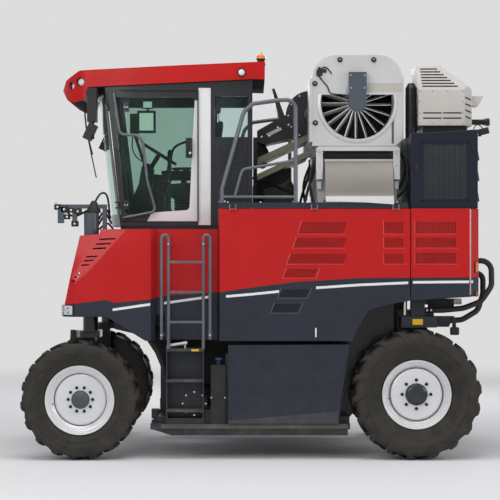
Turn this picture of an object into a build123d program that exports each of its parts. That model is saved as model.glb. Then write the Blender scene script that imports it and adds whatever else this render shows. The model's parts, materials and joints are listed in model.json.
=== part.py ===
from build123d import *
import math
import os

# Self-propelled grape harvester that straddles a vine row. Millimetres, +Z up, front towards -X.
# The machine's left side, with its ladder and cab door, faces -Y. The origin is on the ground under
# the middle of the bounding box. LEFT and RIGHT pieces are mirror images across the XZ plane.

# Wheels and axles
FRONT_AXLE_X = -1695
REAR_AXLE_X = 1490
FRONT_TYRE_R, FRONT_TYRE_W, FRONT_WHEEL_Y = 565, 380, 1155
REAR_TYRE_R, REAR_TYRE_W, REAR_WHEEL_Y = 615, 450, 1120
LUG_HEIGHT = 36
TYRE_SIDES = 18
LUG_SWEEP, LUG_PAST_MIDDLE = 0.62, 16
LUG_MIDDLE, LUG_EDGE = (-24, 22), (-40, 34)
LUG_ROOT_DROP, LUG_OVERSHOOT = 48, 22
CROWN_DROP, CROWN_INSET = 50, 34
SIDEWALL_DROP, SHOULDER = 85, 40
BEAD_R = 305
RIM_HALF_W = 130
RIM_FLANGE_R = 328
RIM_WALL = 10
HUB_BORE_R = 60
RUNNING_GAP = 0.1
SEAT_GAP = 0.05

# Wheel legs and steering
KINGPIN_X, KINGPIN_Y = -1610, 1070
KINGPIN_R = 70
YOKE_RISE, YOKE_THICK = 20, 65
SOCKET_WALL, SOCKET_LIFT = 28, 160
SOCKET_Z0 = 2 * FRONT_TYRE_R + YOKE_RISE + YOKE_THICK + SOCKET_LIFT
REAR_POST_X, REAR_POST_Y, REAR_POST_SIZE = 1515, 1040, 130
ARM_THICK = 80

# Portal frame
TUNNEL_HALF_W = 430
BEAM_Y0, BEAM_Y1 = 600, 700
BEAM_Z0, BEAM_Z1 = 1900, 2050
SILL_Z0, SILL_Z1 = 285, 340
SILL_Y0, SILL_Y1 = 1140, 1240
SKID_Z0 = 227
ELEVATOR_Y0, ELEVATOR_Y1, ELEVATOR_Z0 = 455, 595, 450
TOW_X, TOW_Y, TOW_BORE_R = -1000, 980, 16
TOW_HALF_X, TOW_HALF_Y = 30, 60
TOW_Z0, TOW_GAP_Z0, TOW_GAP_Z1, TOW_Z1 = 275, 352, 371, 458
CROSS_BAR_X0 = TOW_X + TOW_HALF_X
STEP_X0, STEP_X1 = -879, -521
HANGERS = ((-960, -840), (760, 860))
CROSS_BARS = ((CROSS_BAR_X0, STEP_X0 - 6), (-60, 60), (740, 860))
SIDE_FRAME_X0, SIDE_FRAME_X1 = -1030, 860
DECK_POST_XS, DECK_POST_HALF = (480, 1330), 40
CAB_POST_XS, CAB_POST_HALF = (-1300, -220), 50
OUTRIGGER_X0, OUTRIGGER_X1, OUTRIGGER_DEPTH, OUTRIGGER_Y = -350, -270, 90, 1215

# Body panels
SIDE_Y = 1290
HOOD_Y = 1270
PANEL = 16
SEAM = 8
BAY_X0, BAY_X1, BAY_Y = -984, -393, 1110
COVER_X0, COVER_X1 = BAY_X1 + SEAM, 1424
REAR_X0, REAR_X1 = COVER_X1 + SEAM, 2083
DECK_Z0, DECK_Z1 = 2378, 2430
DECK_PLATE_Z0, DECK_PLATE_Z1 = 2395, 2403
COVER_TOP = DECK_Z0 - 6
BODY_BOTTOM = 1125
REAR_TOP = 2375
HINGE_R, HINGE_PIN_R = 9, 5
HINGE_OUT = 10
HINGE_XS = (-250, 520, 1290)
COVER_EDGE_R = 28
HOOD_TOP = 2181
HOOD_SLANT_X, HOOD_SLANT_Z = -1872, 1350
CREASE_TOP, CREASE_LOW = (-1334, 2077), (-1800, 1567)
CREASE_DROP = 95
HOOD_SLOTS = (
    # front x, rear x, height
    (-1517, -1352, 2087), (-1548, -1397, 2041), (-1578, -1442, 1999),
    (-1639, -1526, 1921), (-1661, -1564, 1883), (-1687, -1602, 1841),
    (-1728, -1677, 1765), (-1756, -1706, 1727), (-1781, -1736, 1687),
)
LOUVRE_PITCH, LOUVRE_OPEN, LOUVRE_SLANT = 21, 0.5, 38
COVER_LOUVRES = (
    # x0, x1, z0, z1, slant
    (413, 837, 2143, 2247, LOUVRE_SLANT), (366, 837, 2011, 2096, LOUVRE_SLANT),
    (309, 837, 1860, 1945, LOUVRE_SLANT), (271, 560, 1728, 1804, LOUVRE_SLANT),
    (1186, 1366, 2143, 2247, 0), (1186, 1366, 2011, 2096, 0), (1186, 1366, 1860, 1945, 0),
)
REAR_LOUVRES = ((1479, 1866, 2143, 2247, 0), (1479, 1866, 2011, 2096, 0), (1479, 1866, 1860, 1955, 0))
LOWER_LOUVRES = ((224, 480, 1540, 1610, LOUVRE_SLANT), (158, 400, 1398, 1474, LOUVRE_SLANT))

# Engine housing
TOWER_X1, TOWER_Y = 2069, 1250
TOWER_FRONT_Z, TOWER_REAR_Z = 3084, 3125
TOWER_WALL = 15
SCREEN = (1555, 1965, 2461, 2985)
ENGINE = (1510, 1990, -430, 470)

# Cab
CAB_Y = 740
CAB_Z0, CAB_Z1 = 2217, 3560
CAB_X1 = -63
CAB_FRONT_SIDE_X, CAB_FRONT_MID_X = -1350, -1480
CAB_LEAN = -0.1106
CAB_WALL = 45
GLASS = 6
DOOR_X0, DOOR_X1 = -1335, -598
DOOR_Z0, DOOR_Z1 = 2262, 3530
DOOR_GAP = 6
DOOR_HINGE_ZS = (2420, 3370)
WINDOW_R = 40

# Fan units
FAN_X, FAN_Z, FAN_R = 935, 3385, 349
FAN_BOX = (504, 1366, 2975, 3843)
FAN_Y0, FAN_Y1 = 640, 1120
FAN_BLADES = 20
FAN_SHAFT_R = 20
FAN_HUB_R, FAN_HUB_Y0, FAN_HUB_Y1 = 62, 870, 1010

# Rear hoses
HOSE_R = 27

OUT = "parts"


def block(x0, x1, y0, y1, z0, z1):
    """Box between two corners."""
    size = (abs(x1 - x0), abs(y1 - y0), abs(z1 - z0))
    centre = ((x0 + x1) / 2, (y0 + y1) / 2, (z0 + z1) / 2)
    return Pos(*centre) * Box(*size)


def plate_xz(points, y0, y1, radius=0):
    """Outline in side view, made solid from y0 to y1."""
    face = make_face(Polyline([(x, y0, z) for x, z in points], close=True))
    if radius:
        face = fillet(face.vertices(), radius)
    return extrude(face, amount=y1 - y0, dir=(0, 1, 0))


def plate_xy(points, z0, z1):
    """Outline in plan, made solid from z0 to z1."""
    face = make_face(Polyline([(x, y, z0) for x, y in points], close=True))
    return extrude(face, amount=z1 - z0, dir=(0, 0, 1))


def plate_yz(points, x0, x1):
    """Outline seen from the front, made solid from x0 to x1."""
    face = make_face(Polyline([(x0, y, z) for y, z in points], close=True))
    return extrude(face, amount=x1 - x0, dir=(1, 0, 0))


def rod(start, end, radius):
    """Round bar between two points."""
    start, end = Vector(*start), Vector(*end)
    along = end - start
    plane = Plane(origin=start, z_dir=along)
    return extrude(plane * Circle(radius), amount=along.length)


def pipe(points, bends, radius):
    """Round tube along straight runs joined by arcs."""
    path = FilletPolyline(*points, radius=bends)
    start = Plane(origin=path @ 0, z_dir=path % 0)
    return sweep(start * Circle(radius), path=path)


def right(shape):
    """Mirror image on the machine's right side."""
    return mirror(shape, about=Plane.XZ)


def both(shape):
    """A left-hand piece and its mirror image."""
    return Compound(children=[*shape.solids(), *right(shape).solids()])


def write(name, shape):
    solids = shape.solids()
    whole = solids[0] if len(solids) == 1 else Compound(children=list(solids))
    export_step(whole, os.path.join(OUT, name + ".step"))


# Tyres: a flat-sided ring with chevron lugs fused to it. The left wheels are made and mirrored.
def ring(profile, sides):
    """Solid ring with flat faces: a closed (radius, across) outline stepped round Y, a corner down."""
    step = math.radians(360 / sides)

    def corner(point, number):
        radius, across = point
        angle = number * step - math.radians(90)
        return Vector(radius * math.cos(angle), across, radius * math.sin(angle))

    faces = []
    for number in range(sides):
        for here, there in zip(profile, profile[1:] + profile[:1]):
            corners = [corner(here, number), corner(there, number), corner(there, number + 1),
                       corner(here, number + 1)]
            faces.append(Face(Wire.make_polygon(corners, close=True)))
    return Solid(Shell(faces))


def tyre(axle_x, outer_r, width, wheel_y):
    flat = 1 / math.cos(math.pi / TYRE_SIDES)
    bead, flange = (BEAD_R + SEAT_GAP) * flat, (RIM_FLANGE_R + 2) * flat
    tread_r, half = outer_r - LUG_HEIGHT, width / 2
    side_r = tread_r - SIDEWALL_DROP
    whole = ring([(bead, -RIM_HALF_W), (bead, RIM_HALF_W), (flange, RIM_HALF_W), (side_r, half),
                  (tread_r, half - SHOULDER), (tread_r, SHOULDER - half), (side_r, -half),
                  (flange, -RIM_HALF_W)], TYRE_SIDES)
    crown_edge = tread_r - CROWN_DROP
    crown = ring([(crown_edge, half), (outer_r, half - CROWN_INSET), (outer_r, CROWN_INSET - half),
                  (crown_edge, -half)], TYRE_SIDES)
    pitch = 360 / TYRE_SIDES
    reach = half * LUG_SWEEP
    for number in range(TYRE_SIDES):
        for hand in (-1, 1):
            start = -hand * LUG_PAST_MIDDLE
            outline = [(LUG_MIDDLE[0], start), (LUG_MIDDLE[1], start), (reach + LUG_EDGE[1], hand * half),
                       (reach + LUG_EDGE[0], hand * half)]
            bar = plate_xy(outline, tread_r - LUG_ROOT_DROP, outer_r + LUG_OVERSHOOT)
            turned = Rot(0, (number + 0.5 + 0.25 * (hand + 1)) * pitch, 0) * bar
            whole = whole + (turned & crown)
    return Pos(axle_x, -wheel_y, outer_r) * whole


# Rims: a drop-centre barrel, a dished disc and a hub that turns on the spindle. Outboard is -Y.
def rim(axle_x, axle_z, wheel_y, disc_at, disc_r, hub_r):
    well_r = 262
    outline = [
        (RIM_FLANGE_R, -142), (RIM_FLANGE_R, -RIM_HALF_W), (BEAD_R, -RIM_HALF_W), (BEAD_R, -100),
        (well_r, -80), (well_r, 30), (BEAD_R, 60), (BEAD_R, RIM_HALF_W), (RIM_FLANGE_R, RIM_HALF_W),
        (RIM_FLANGE_R, 142), (BEAD_R - RIM_WALL, 142), (BEAD_R - RIM_WALL, 64),
        (well_r - RIM_WALL, 34), (well_r - RIM_WALL, -84), (BEAD_R - RIM_WALL, -104),
        (BEAD_R - RIM_WALL, -142),
    ]
    barrel = revolve(make_face(Polyline([(r, a) for r, a in outline], close=True)), axis=Axis.Y)
    edge = min(disc_at + 24, 0)
    disc_outline = [
        (HUB_BORE_R + RUNNING_GAP, -disc_at + 90), (HUB_BORE_R + RUNNING_GAP, -disc_at - 14),
        (0, -disc_at - 14), (0, -disc_at - 62), (hub_r - 14, -disc_at - 62),
        (hub_r, -disc_at - 50), (hub_r, -disc_at - 14), (disc_r, -disc_at - 14),
        (well_r - RIM_WALL, -disc_at + 22), (well_r - RIM_WALL, -disc_at + 36),
        (disc_r, -disc_at), (hub_r + 30, -disc_at), (hub_r + 30, -disc_at + 20),
        (HUB_BORE_R + 30, -disc_at + 90),
    ]
    disc = revolve(make_face(Polyline([(r, a) for r, a in disc_outline], close=True)), axis=Axis.Y)
    return Pos(axle_x, -wheel_y, axle_z) * (barrel + disc)


def hub_drive(axle_x, axle_z, wheel_y, disc_at, arm_y):
    """Wheel motor and spindle, from the leg's arm out to the disc. Spindle end is short of the hub."""
    face_y = -wheel_y - disc_at
    motor = rod((axle_x, -arm_y, axle_z), (axle_x, face_y + 96, axle_z), 150)
    spindle = rod((axle_x, face_y + 100, axle_z), (axle_x, face_y - 8, axle_z), HUB_BORE_R)
    return motor + spindle


# Front leg: chromed post that lifts and steers, a yoke over the tyre and an arm down inside it.
def front_knuckle():
    x, z = FRONT_AXLE_X, FRONT_TYRE_R
    inner = FRONT_WHEEL_Y - FRONT_TYRE_W / 2
    arm_y0, arm_y1 = inner - 20 - ARM_THICK, inner - 20
    top = 2 * FRONT_TYRE_R
    yoke_top = top + YOKE_RISE + YOKE_THICK
    post = rod((KINGPIN_X, -KINGPIN_Y, top + 60), (KINGPIN_X, -KINGPIN_Y, BEAM_Z0 - 20), KINGPIN_R)
    yoke = plate_xy(
        [(KINGPIN_X - 95, -KINGPIN_Y - 60), (KINGPIN_X + 95, -KINGPIN_Y - 60),
         (KINGPIN_X + 95, -arm_y0), (x - 120, -arm_y0)],
        top + YOKE_RISE, yoke_top,
    )
    arm = plate_xz(
        [(x - 120, yoke_top), (x + 120, yoke_top), (x + 140, z + 60), (x + 110, z - 150),
         (x - 110, z - 150), (x - 140, z + 60)],
        -arm_y1, -arm_y0,
    )
    return post + yoke + arm + hub_drive(x, z, FRONT_WHEEL_Y, 30, arm_y1 - 10)


# Rear leg: square post, box yoke and arm. It lifts but doesn't steer.
def rear_leg():
    x, z = REAR_AXLE_X, REAR_TYRE_R
    inner = REAR_WHEEL_Y - REAR_TYRE_W / 2
    arm_y0, arm_y1 = inner - 20 - ARM_THICK, inner - 20
    half = REAR_POST_SIZE / 2
    top = 2 * REAR_TYRE_R
    post = block(REAR_POST_X - half, REAR_POST_X + half, -REAR_POST_Y - half, -REAR_POST_Y + half,
                 top + 100, BEAM_Z0)
    yoke = block(x - 135, x + 200, -REAR_POST_Y - 110, -arm_y0, top + 15, top + 120)
    arm = plate_xz(
        [(x - 135, top + 60), (x + 135, top + 60), (x + 140, z + 60), (x + 110, z - 150),
         (x - 110, z - 150), (x - 140, z + 60)],
        -arm_y1, -arm_y0,
    )
    bracket = plate_xz(
        [(x + 200, top + 120), (x + 385, top + 120), (x + 330, top + 15), (x + 200, top + 15)],
        -REAR_POST_Y + 40, -REAR_POST_Y + 60,
    )
    ram = rod((x - 95, -REAR_POST_Y, top + 120), (x - 95, -REAR_POST_Y, BEAM_Z0), 22)
    return post + yoke + arm + bracket + ram + hub_drive(x, z, REAR_WHEEL_Y, 75, arm_y1 - 10)


# Portal frame: beams over the tunnel with cross members, and posts for the deck and cab.
def main_frame():
    pieces = [block(KINGPIN_X - 90, REAR_X1 - PANEL, -BEAM_Y1, -BEAM_Y0, BEAM_Z0, BEAM_Z1)]
    bar_z0 = DECK_PLATE_Z0 - OUTRIGGER_DEPTH
    for x in DECK_POST_XS:
        x0, x1 = x - DECK_POST_HALF, x + DECK_POST_HALF
        pieces.append(block(x0, x1, -BEAM_Y1, -BEAM_Y0, BEAM_Z1, DECK_PLATE_Z0))
        pieces.append(block(x0, x1, -OUTRIGGER_Y, -BEAM_Y0, bar_z0, DECK_PLATE_Z0))
    pieces.append(block(OUTRIGGER_X0, OUTRIGGER_X1, -830, -760, BEAM_Z0, DECK_PLATE_Z0))
    pieces.append(block(OUTRIGGER_X0, OUTRIGGER_X1, -OUTRIGGER_Y, -760, bar_z0, DECK_PLATE_Z0))
    for x in CAB_POST_XS:
        pieces.append(block(x - CAB_POST_HALF, x + CAB_POST_HALF, -BEAM_Y1, -BEAM_Y0, BEAM_Z1, CAB_Z0))
    half = solid_sum(pieces)
    whole = half + right(half)
    reach = KINGPIN_Y + KINGPIN_R
    for x0, x1, y in ((KINGPIN_X - 70, KINGPIN_X + 90, reach), (-380, -280, 830),
                      (1425, 1585, REAR_POST_Y + 80)):
        whole = whole + block(x0, x1, -y, y, BEAM_Z0, BEAM_Z1)
    return whole


# Socket under each end of the front cross member. The front post slides and turns in it.
def kingpin_socket():
    def upright(z0, z1, radius):
        return rod((KINGPIN_X, -KINGPIN_Y, z0), (KINGPIN_X, -KINGPIN_Y, z1), radius)

    tube = upright(SOCKET_Z0, BEAM_Z0, KINGPIN_R + SOCKET_WALL)
    return tube - upright(SOCKET_Z0 - 75, BEAM_Z0 - 10, KINGPIN_R + RUNNING_GAP)


# Lower side frame: hangers under the beam, a longitudinal at the tunnel, and the sill with its skid.
def lower_frame():
    x0, x1 = SIDE_FRAME_X0, SIDE_FRAME_X1
    pieces = [block(x0, x1, -BEAM_Y1 - 20, -BEAM_Y0, 330, 430),
              block(x0, x1, -SILL_Y1, -SILL_Y0, SILL_Z0, SILL_Z1)]
    for hanger_x0, hanger_x1 in HANGERS:
        pieces.append(block(hanger_x0, hanger_x1, -BEAM_Y1, -BEAM_Y0, 330, BEAM_Z0))
    for bar_x0, bar_x1 in CROSS_BARS:
        pieces.append(block(bar_x0, bar_x1, -SILL_Y0, -BEAM_Y1, SILL_Z0 + 15, 400))
    for x in (-900, -50, 760):
        pieces.append(block(x, x + 60, -BEAM_Y1, -ELEVATOR_Y0, 430, ELEVATOR_Z0))
    pieces.append(plate_xz([(x0 + 20, SILL_Z0 + 5), (x0 + 20, SILL_Z0), (-826, SKID_Z0), (x1 - 20, SKID_Z0),
                            (x1 - 20, SILL_Z0 + 5)], -SILL_Y1 + 5, -SILL_Y0 - 5))
    return solid_sum(pieces)


# Tow bracket: forked block on the front face of each side frame's first cross bar.
def tow_bracket():
    y0, y1 = -TOW_Y - TOW_HALF_Y, -TOW_Y + TOW_HALF_Y
    body = block(TOW_X - TOW_HALF_X, CROSS_BAR_X0, y0, y1, TOW_Z0, TOW_Z1)
    fork = block(TOW_X - TOW_HALF_X - 5, CROSS_BAR_X0 - 8, y0 - 5, y1 + 5, TOW_GAP_Z0, TOW_GAP_Z1)
    pin = rod((TOW_X, -TOW_Y, TOW_Z0 - 20), (TOW_X, -TOW_Y, TOW_Z1 + 20), TOW_BORE_R)
    return body - fork - pin


def solid_sum(shapes):
    total = shapes[0]
    for shape in shapes[1:]:
        total = total + shape
    return total


# Row of catch plates on each side of the tunnel, hinged in reality on the long rail that carries them.
def catch_plates():
    rail = block(-930, 850, -ELEVATOR_Y0 - 30, -TUNNEL_HALF_W + 30, ELEVATOR_Z0 + 170, 650)
    plates = []
    count, pitch = 12, 147
    for number in range(count):
        x = -930 + number * pitch
        outline = [(-TUNNEL_HALF_W + 20, 640), (-12, 712), (-12, 722), (-TUNNEL_HALF_W + 20, 650)]
        lift = 4 if number % 2 else 0
        plates.append(Pos(0, 0, lift) * plate_yz(outline, x, x + pitch + 12))
    return solid_sum([rail, *plates])


# Picking head: side plates hung from the beams, with two shafts a side that carry bowed shaker rods.
def picking_head():
    wall = block(-900, 740, -BEAM_Y0 + 30, -BEAM_Y0 + 42, 670, BEAM_Z0)
    flange = block(-700, 620, -BEAM_Y1, -BEAM_Y0 + 42, BEAM_Z0 - 12, BEAM_Z0)
    shafts = [rod((x, -400, 760), (x, -400, BEAM_Z0 - 60), 28) for x in (-760, 620)]
    arms = [block(x - 20, x + 20, -BEAM_Y0 + 42, -400, z, z + 30)
            for x in (-760, 620) for z in (760, BEAM_Z0 - 90)]
    rods = []
    for number in range(8):
        z = 820 + number * 130
        path = [(-760, -400, z), (-420, -250, z), (280, -250, z), (620, -400, z)]
        rods.append(pipe(path, 300, 13))
    return solid_sum([wall, flange, *shafts, *arms, *rods])


# Bucket elevator casing: along the tunnel floor, up behind the fan unit and forward over its top.
def elevator():
    z0 = ELEVATOR_Z0
    outline = [
        (-940, z0), (1360, z0), (1360, 3300), (720, 3300), (720, 3140), (1190, 3140),
        (1190, z0 + 170), (-940, z0 + 170),
    ]
    casing = plate_xz(outline, -ELEVATOR_Y1, -ELEVATOR_Y0)
    edges = casing.edges().filter_by(Axis.Y).sort_by(lambda e: e.center().X)[-2:]
    return fillet(edges, 120)


# Front fender: side outline crossed with a plan outline, hollow, split into red hood and grey skirt.
def crease_facet(inset):
    """Everything outside the slanted facet that turns the hood's side into its top front corner."""
    top = Vector(CREASE_TOP[0], -HOOD_Y, CREASE_TOP[1])
    low = Vector(CREASE_LOW[0], -HOOD_Y, CREASE_LOW[1])
    corner = Vector(-1702, -HOOD_Y + CREASE_DROP, 2115)
    outward = (low - top).cross(corner - top).normalized()
    if outward.Y > 0:
        outward = outward * -1
    facet = Plane(origin=top - outward * inset, z_dir=outward)
    return facet * Pos(0, 0, 300) * Box(3000, 3000, 600)


def hood_solid(inset):
    i = inset
    side = [
        (HOOD_SLANT_X + i, HOOD_SLANT_Z - i), (-1702 + i * 0.9, 2120 - i), (-1515 + i, 2132 - i),
        (-1500 + i, HOOD_TOP - i), (BAY_X1 - i, HOOD_TOP - i), (BAY_X1 - i, BODY_BOTTOM - i),
        (-1079 + i, BODY_BOTTOM - i), (-1440 + i, HOOD_SLANT_Z - i),
    ]
    y_out, y_in = -HOOD_Y + i, -BEAM_Y1
    plan = [
        (-1900 + i, y_in), (-1900 + i, -1010), (-1862 + i, -1180 + i * 0.7),
        (-1740 + i * 0.4, y_out), (BAY_X0 - 40 - i, y_out), (BAY_X0 - i, y_out + 40),
        (BAY_X0 - i, -BAY_Y + i), (BAY_X1 - i, -BAY_Y + i), (BAY_X1 - i, y_in),
    ]
    profile = plate_xz(side, -HOOD_Y - 10, y_in)
    return (profile & plate_xy(plan, 1000, 2300)) - crease_facet(inset)


def stripe_line():
    """Boundary between red above and grey below, as points in side view."""
    return [(-2000, 1455), (-1800, 1468), (-1456, 1511), (-1362, 1484), (-1050, 1514), (-880, 1549),
            (-384, 1582), (-87, 1627), (335, 1681), (967, 1719), (1419, 1721), (2200, 1724)]


def above_line():
    return plate_xz([*stripe_line(), (2200, 4000), (-2000, 4000)], -1400, 1400)


def hood_shell():
    shell = hood_solid(0) - hood_solid(PANEL) - block(-1800, -900, -1200, -600, 1000, 1360)
    for x0, x1, z in HOOD_SLOTS:
        slot = [(x0, z - 10), (x1 - 8, z - 4), (x1, z + 10), (x0 + 8, z + 4)]
        shell = shell - plate_xz(slot, -1400, -1080)
    return shell


# Gull-wing side cover: flat moulded panel with a returned rim, hinged along its top outer edge.
def cover_solid(inset):
    i = inset
    outline = [
        (COVER_X0 + i, COVER_TOP - i), (COVER_X1 - i, COVER_TOP - i), (COVER_X1 - i, 1505 + i),
        (1222, 1469 + i), (1034 - i, 1417 + i), (937 - i, 1251), (875 - i, BODY_BOTTOM + i),
        (COVER_X0 + i, BODY_BOTTOM + i),
    ]
    panel = plate_xz(outline, -SIDE_Y + i, -SIDE_Y + 70)
    front = panel.edges().filter_by(Axis.Z).group_by(Axis.X)[0].sort_by(Axis.Y)[0]
    return fillet(front, COVER_EDGE_R - i)


def louvre_cut(x0, x1, z0, z1, slant):
    """Slanted slots through a panel, in a row."""
    slots = []
    count = round((x1 - x0) / LOUVRE_PITCH)
    step = (x1 - x0) / count
    wide = step * LOUVRE_OPEN
    for number in range(count):
        x = x0 + number * step
        outline = [(x - slant, z0), (x - slant + wide, z0), (x + wide, z1), (x, z1)]
        slots.append(plate_xz(outline, -SIDE_Y - 20, -SIDE_Y + 40))
    return slots


def cover_shell():
    return cover_solid(0) - cover_solid(PANEL)


# Rear body: wraps round the engine bay, chamfered at the corners, open over the tunnel.
def rear_solid(inset):
    i = inset
    plan = [(REAR_X0 + i, -SIDE_Y + i), (1985, -SIDE_Y + i), (REAR_X1 - i, -1180), (REAR_X1 - i, 1180),
            (1985, SIDE_Y - i), (REAR_X0 + i, SIDE_Y - i)]
    side = [(REAR_X0, 1507 - i), (1988, 1540 - i), (REAR_X1 + 5, 1549 - i), (REAR_X1 + 5, REAR_TOP - i),
            (REAR_X0, REAR_TOP - i)]
    return plate_xy(plan, 1400, REAR_TOP) & plate_xz(side, -SIDE_Y - 5, SIDE_Y + 5)


def rear_shell():
    inside = rear_solid(PANEL)
    shell = rear_solid(0) - inside - block(REAR_X0 - 5, REAR_X0 + 40, -1190, 1190, 1400, REAR_TOP - PANEL)
    tunnel = block(2000, 2200, -TUNNEL_HALF_W - 30, TUNNEL_HALF_W + 30, 1400, BEAM_Z0)
    return shell - tunnel - engine_well(REAR_TOP - PANEL - 5, REAR_TOP + 5)


# Engine housing: sheet box on the rear body with a screen each side and flaps at the back.
def tower_top(x):
    """Height of the housing's sloping lid."""
    return TOWER_FRONT_Z + (x - REAR_X0) * (TOWER_REAR_Z - TOWER_FRONT_Z) / (TOWER_X1 - REAR_X0)


def tower_solid(inset):
    i = inset
    side = [(REAR_X0 + i, REAR_TOP + i), (TOWER_X1 - i, REAR_TOP + i), (TOWER_X1 - i, tower_top(TOWER_X1) - i),
            (REAR_X0 + i, tower_top(REAR_X0) - i)]
    return plate_xz(side, -TOWER_Y + i, TOWER_Y - i)


def engine_housing():
    shell = tower_solid(0) - tower_solid(TOWER_WALL)
    x0, x1, z0, z1 = SCREEN
    shell = shell - block(x0, x1, -1300, 1300, z0, z1)
    shell = shell - block(2040, 2100, -1120, 1120, 2450, 3040)
    return shell - engine_well(REAR_TOP - 5, REAR_TOP + 40)


def exhaust_cover():
    plan = [(1520, -1100), (1957, -1100), (2040, -1010), (2040, -400), (1520, -400)]
    body = plate_xy(plan, 3170, 3768)
    near = plate_yz([(-1500, 3515), (-1100, 3515), (-800, 3768), (-800, 4000), (-1500, 4000)], 1400, 2200)
    back = plate_xz([(2200, 3515), (2040, 3515), (1762, 3768), (1762, 4000), (2200, 4000)], -1500, 0)
    body = body - near - back
    slots = []
    for number in range(7):
        z = 3548 + number * 31
        y = -1100 + (z - 3515) * 300 / 253
        reach = 1930 - (z - 3515) * 0.95
        slots.append(block(1560, reach, y - 30, y + 6, z - 6, z + 6))
    for z in (3290, 3240):
        slots.append(block(1565, 1740, -1110, -1090, z - 6, z + 6))
        slots.append(block(1755, 1930, -1110, -1090, z - 6, z + 6))
    for slot in slots:
        body = body - slot
    plinth = plate_xz([(1560, tower_top(1560)), (1990, tower_top(1990)), (1990, 3175), (1560, 3175)],
                      -1050, -450)
    scoop = plate_xz([(2035, 3470), (2170, 3470), (2115, 3372), (2035, 3372)], -900, -700)
    scoop = scoop - plate_xz([(2045, 3460), (2180, 3460), (2120, 3380), (2045, 3380)], -890, -710)
    return body + scoop + plinth


def engine_pipes():
    pipe_y = -780
    exhaust = rod((2040, pipe_y, 3225), (2195, pipe_y, 3225), 27)
    flange = rod((2195, pipe_y, 3225), (2225, pipe_y, 3225), 38)
    cleaner = rod((1462, -960, 3060), (1462, -960, 3540), 55) - tower_solid(0)
    cap = Pos(1462, -960, 3540) * Cone(55, 30, 45, align=(Align.CENTER, Align.CENTER, Align.MIN))
    return Compound(children=[(exhaust + flange).solids()[0], (cleaner + cap).solids()[0]])


# Fan unit: box round a duct that is open at the front in its lower half. A motor bracket across the front
# carries the spindle.
def fan_outline():
    x0, x1, z0, z1 = FAN_BOX
    face = make_face(Polyline([(x0, 0, z0), (x1 - 60, 0, z0), (x1, 0, z0 + 60), (x1, 0, z1), (x0, 0, z1)],
                              close=True))
    top = face.vertices().sort_by(Axis.Z)[-2:]
    return fillet(top, 230)


def along_fan(y0, y1, radius):
    """Round shape on the left fan's axis."""
    return rod((FAN_X, -y0, FAN_Z), (FAN_X, -y1, FAN_Z), radius)


def fan_housing():
    box = Pos(0, -FAN_Y1, 0) * extrude(fan_outline(), amount=FAN_Y1 - FAN_Y0, dir=(0, 1, 0))
    duct = along_fan(FAN_Y1 - 12, FAN_Y0 + 5, FAN_R)
    mouth = along_fan(FAN_Y1 + 5, FAN_Y1 - 15, FAN_R) & block(400, 1500, -1200, -1000, 2900, 3466)
    return box - duct - mouth


def fan_rotor():
    hub = along_fan(FAN_HUB_Y1, FAN_HUB_Y0, FAN_HUB_R)
    blades = []
    for number in range(FAN_BLADES):
        blade = Pos(195, 0, 0) * Rot(38, 0, 0) * Box(282, 118, 7)
        blades.append(Pos(FAN_X, -940, FAN_Z) * Rot(0, number * 360 / FAN_BLADES, 0) * blade)
    whole = hub.fuse(*[b.solids()[0] for b in blades])
    return whole - along_fan(FAN_HUB_Y1 + 100, FAN_HUB_Y0 + 20, FAN_SHAFT_R + RUNNING_GAP)


def fan_mount():
    outline = [(FAN_X - 84, FAN_Z), (FAN_X + 84, FAN_Z), (FAN_X + 84, 3672), (FAN_X - 84, 3672)]
    bracket = plate_xz(outline, -1205, -FAN_Y1) + along_fan(1205, FAN_Y1, 84)
    return bracket + along_fan(FAN_Y1 + 10, FAN_HUB_Y0 + 30, FAN_SHAFT_R)


# Sorting table under the fan: welded side posts, top rail, brush roller and a curved drop sheet.
def sorter_frame():
    body = block(560, 1320, -1060, -640, 2460, 2940)
    posts = [block(x0, x0 + 66, -1150, -1060, 2650, 2953) for x0 in (541, 1275)]
    top = block(541, 1341, -1150, -1060, 2930, 2953)
    feet = [block(x0, x0 + 60, -1060, -1000, DECK_Z1 - 27, 2460) for x0 in (560, 1260)]
    feet += [block(x0, x0 + 60, -700, -640, DECK_Z1 - 27, 2460) for x0 in (560, 1260)]
    rest = block(560, 1320, -1120, -640, 2953, 2975)
    return solid_sum([body, *posts, top, *feet, rest])


def brush_roller():
    core = rod((607, -1105, 2885), (1275, -1105, 2885), 12)
    bristles = rod((620, -1105, 2885), (1262, -1105, 2885), 36)
    return core + bristles


def chute():
    outer = [
        Line((0, -1060, 2848), (0, -1108, 2848)),
        ThreePointArc((0, -1108, 2848), (0, -1206, 2680), (0, -1262, 2500)),
        Line((0, -1262, 2500), (0, -1300, 2440)),
        Line((0, -1300, 2440), (0, -1294, 2436)),
        Line((0, -1294, 2436), (0, -1256, 2496)),
        ThreePointArc((0, -1256, 2496), (0, -1200, 2677), (0, -1103, 2842)),
        Line((0, -1103, 2842), (0, -1060, 2842)),
        Line((0, -1060, 2842), (0, -1060, 2848)),
    ]
    return Pos(626, 0, 0) * extrude(make_face(Wire(outer)), amount=647, dir=(1, 0, 0))


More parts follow.
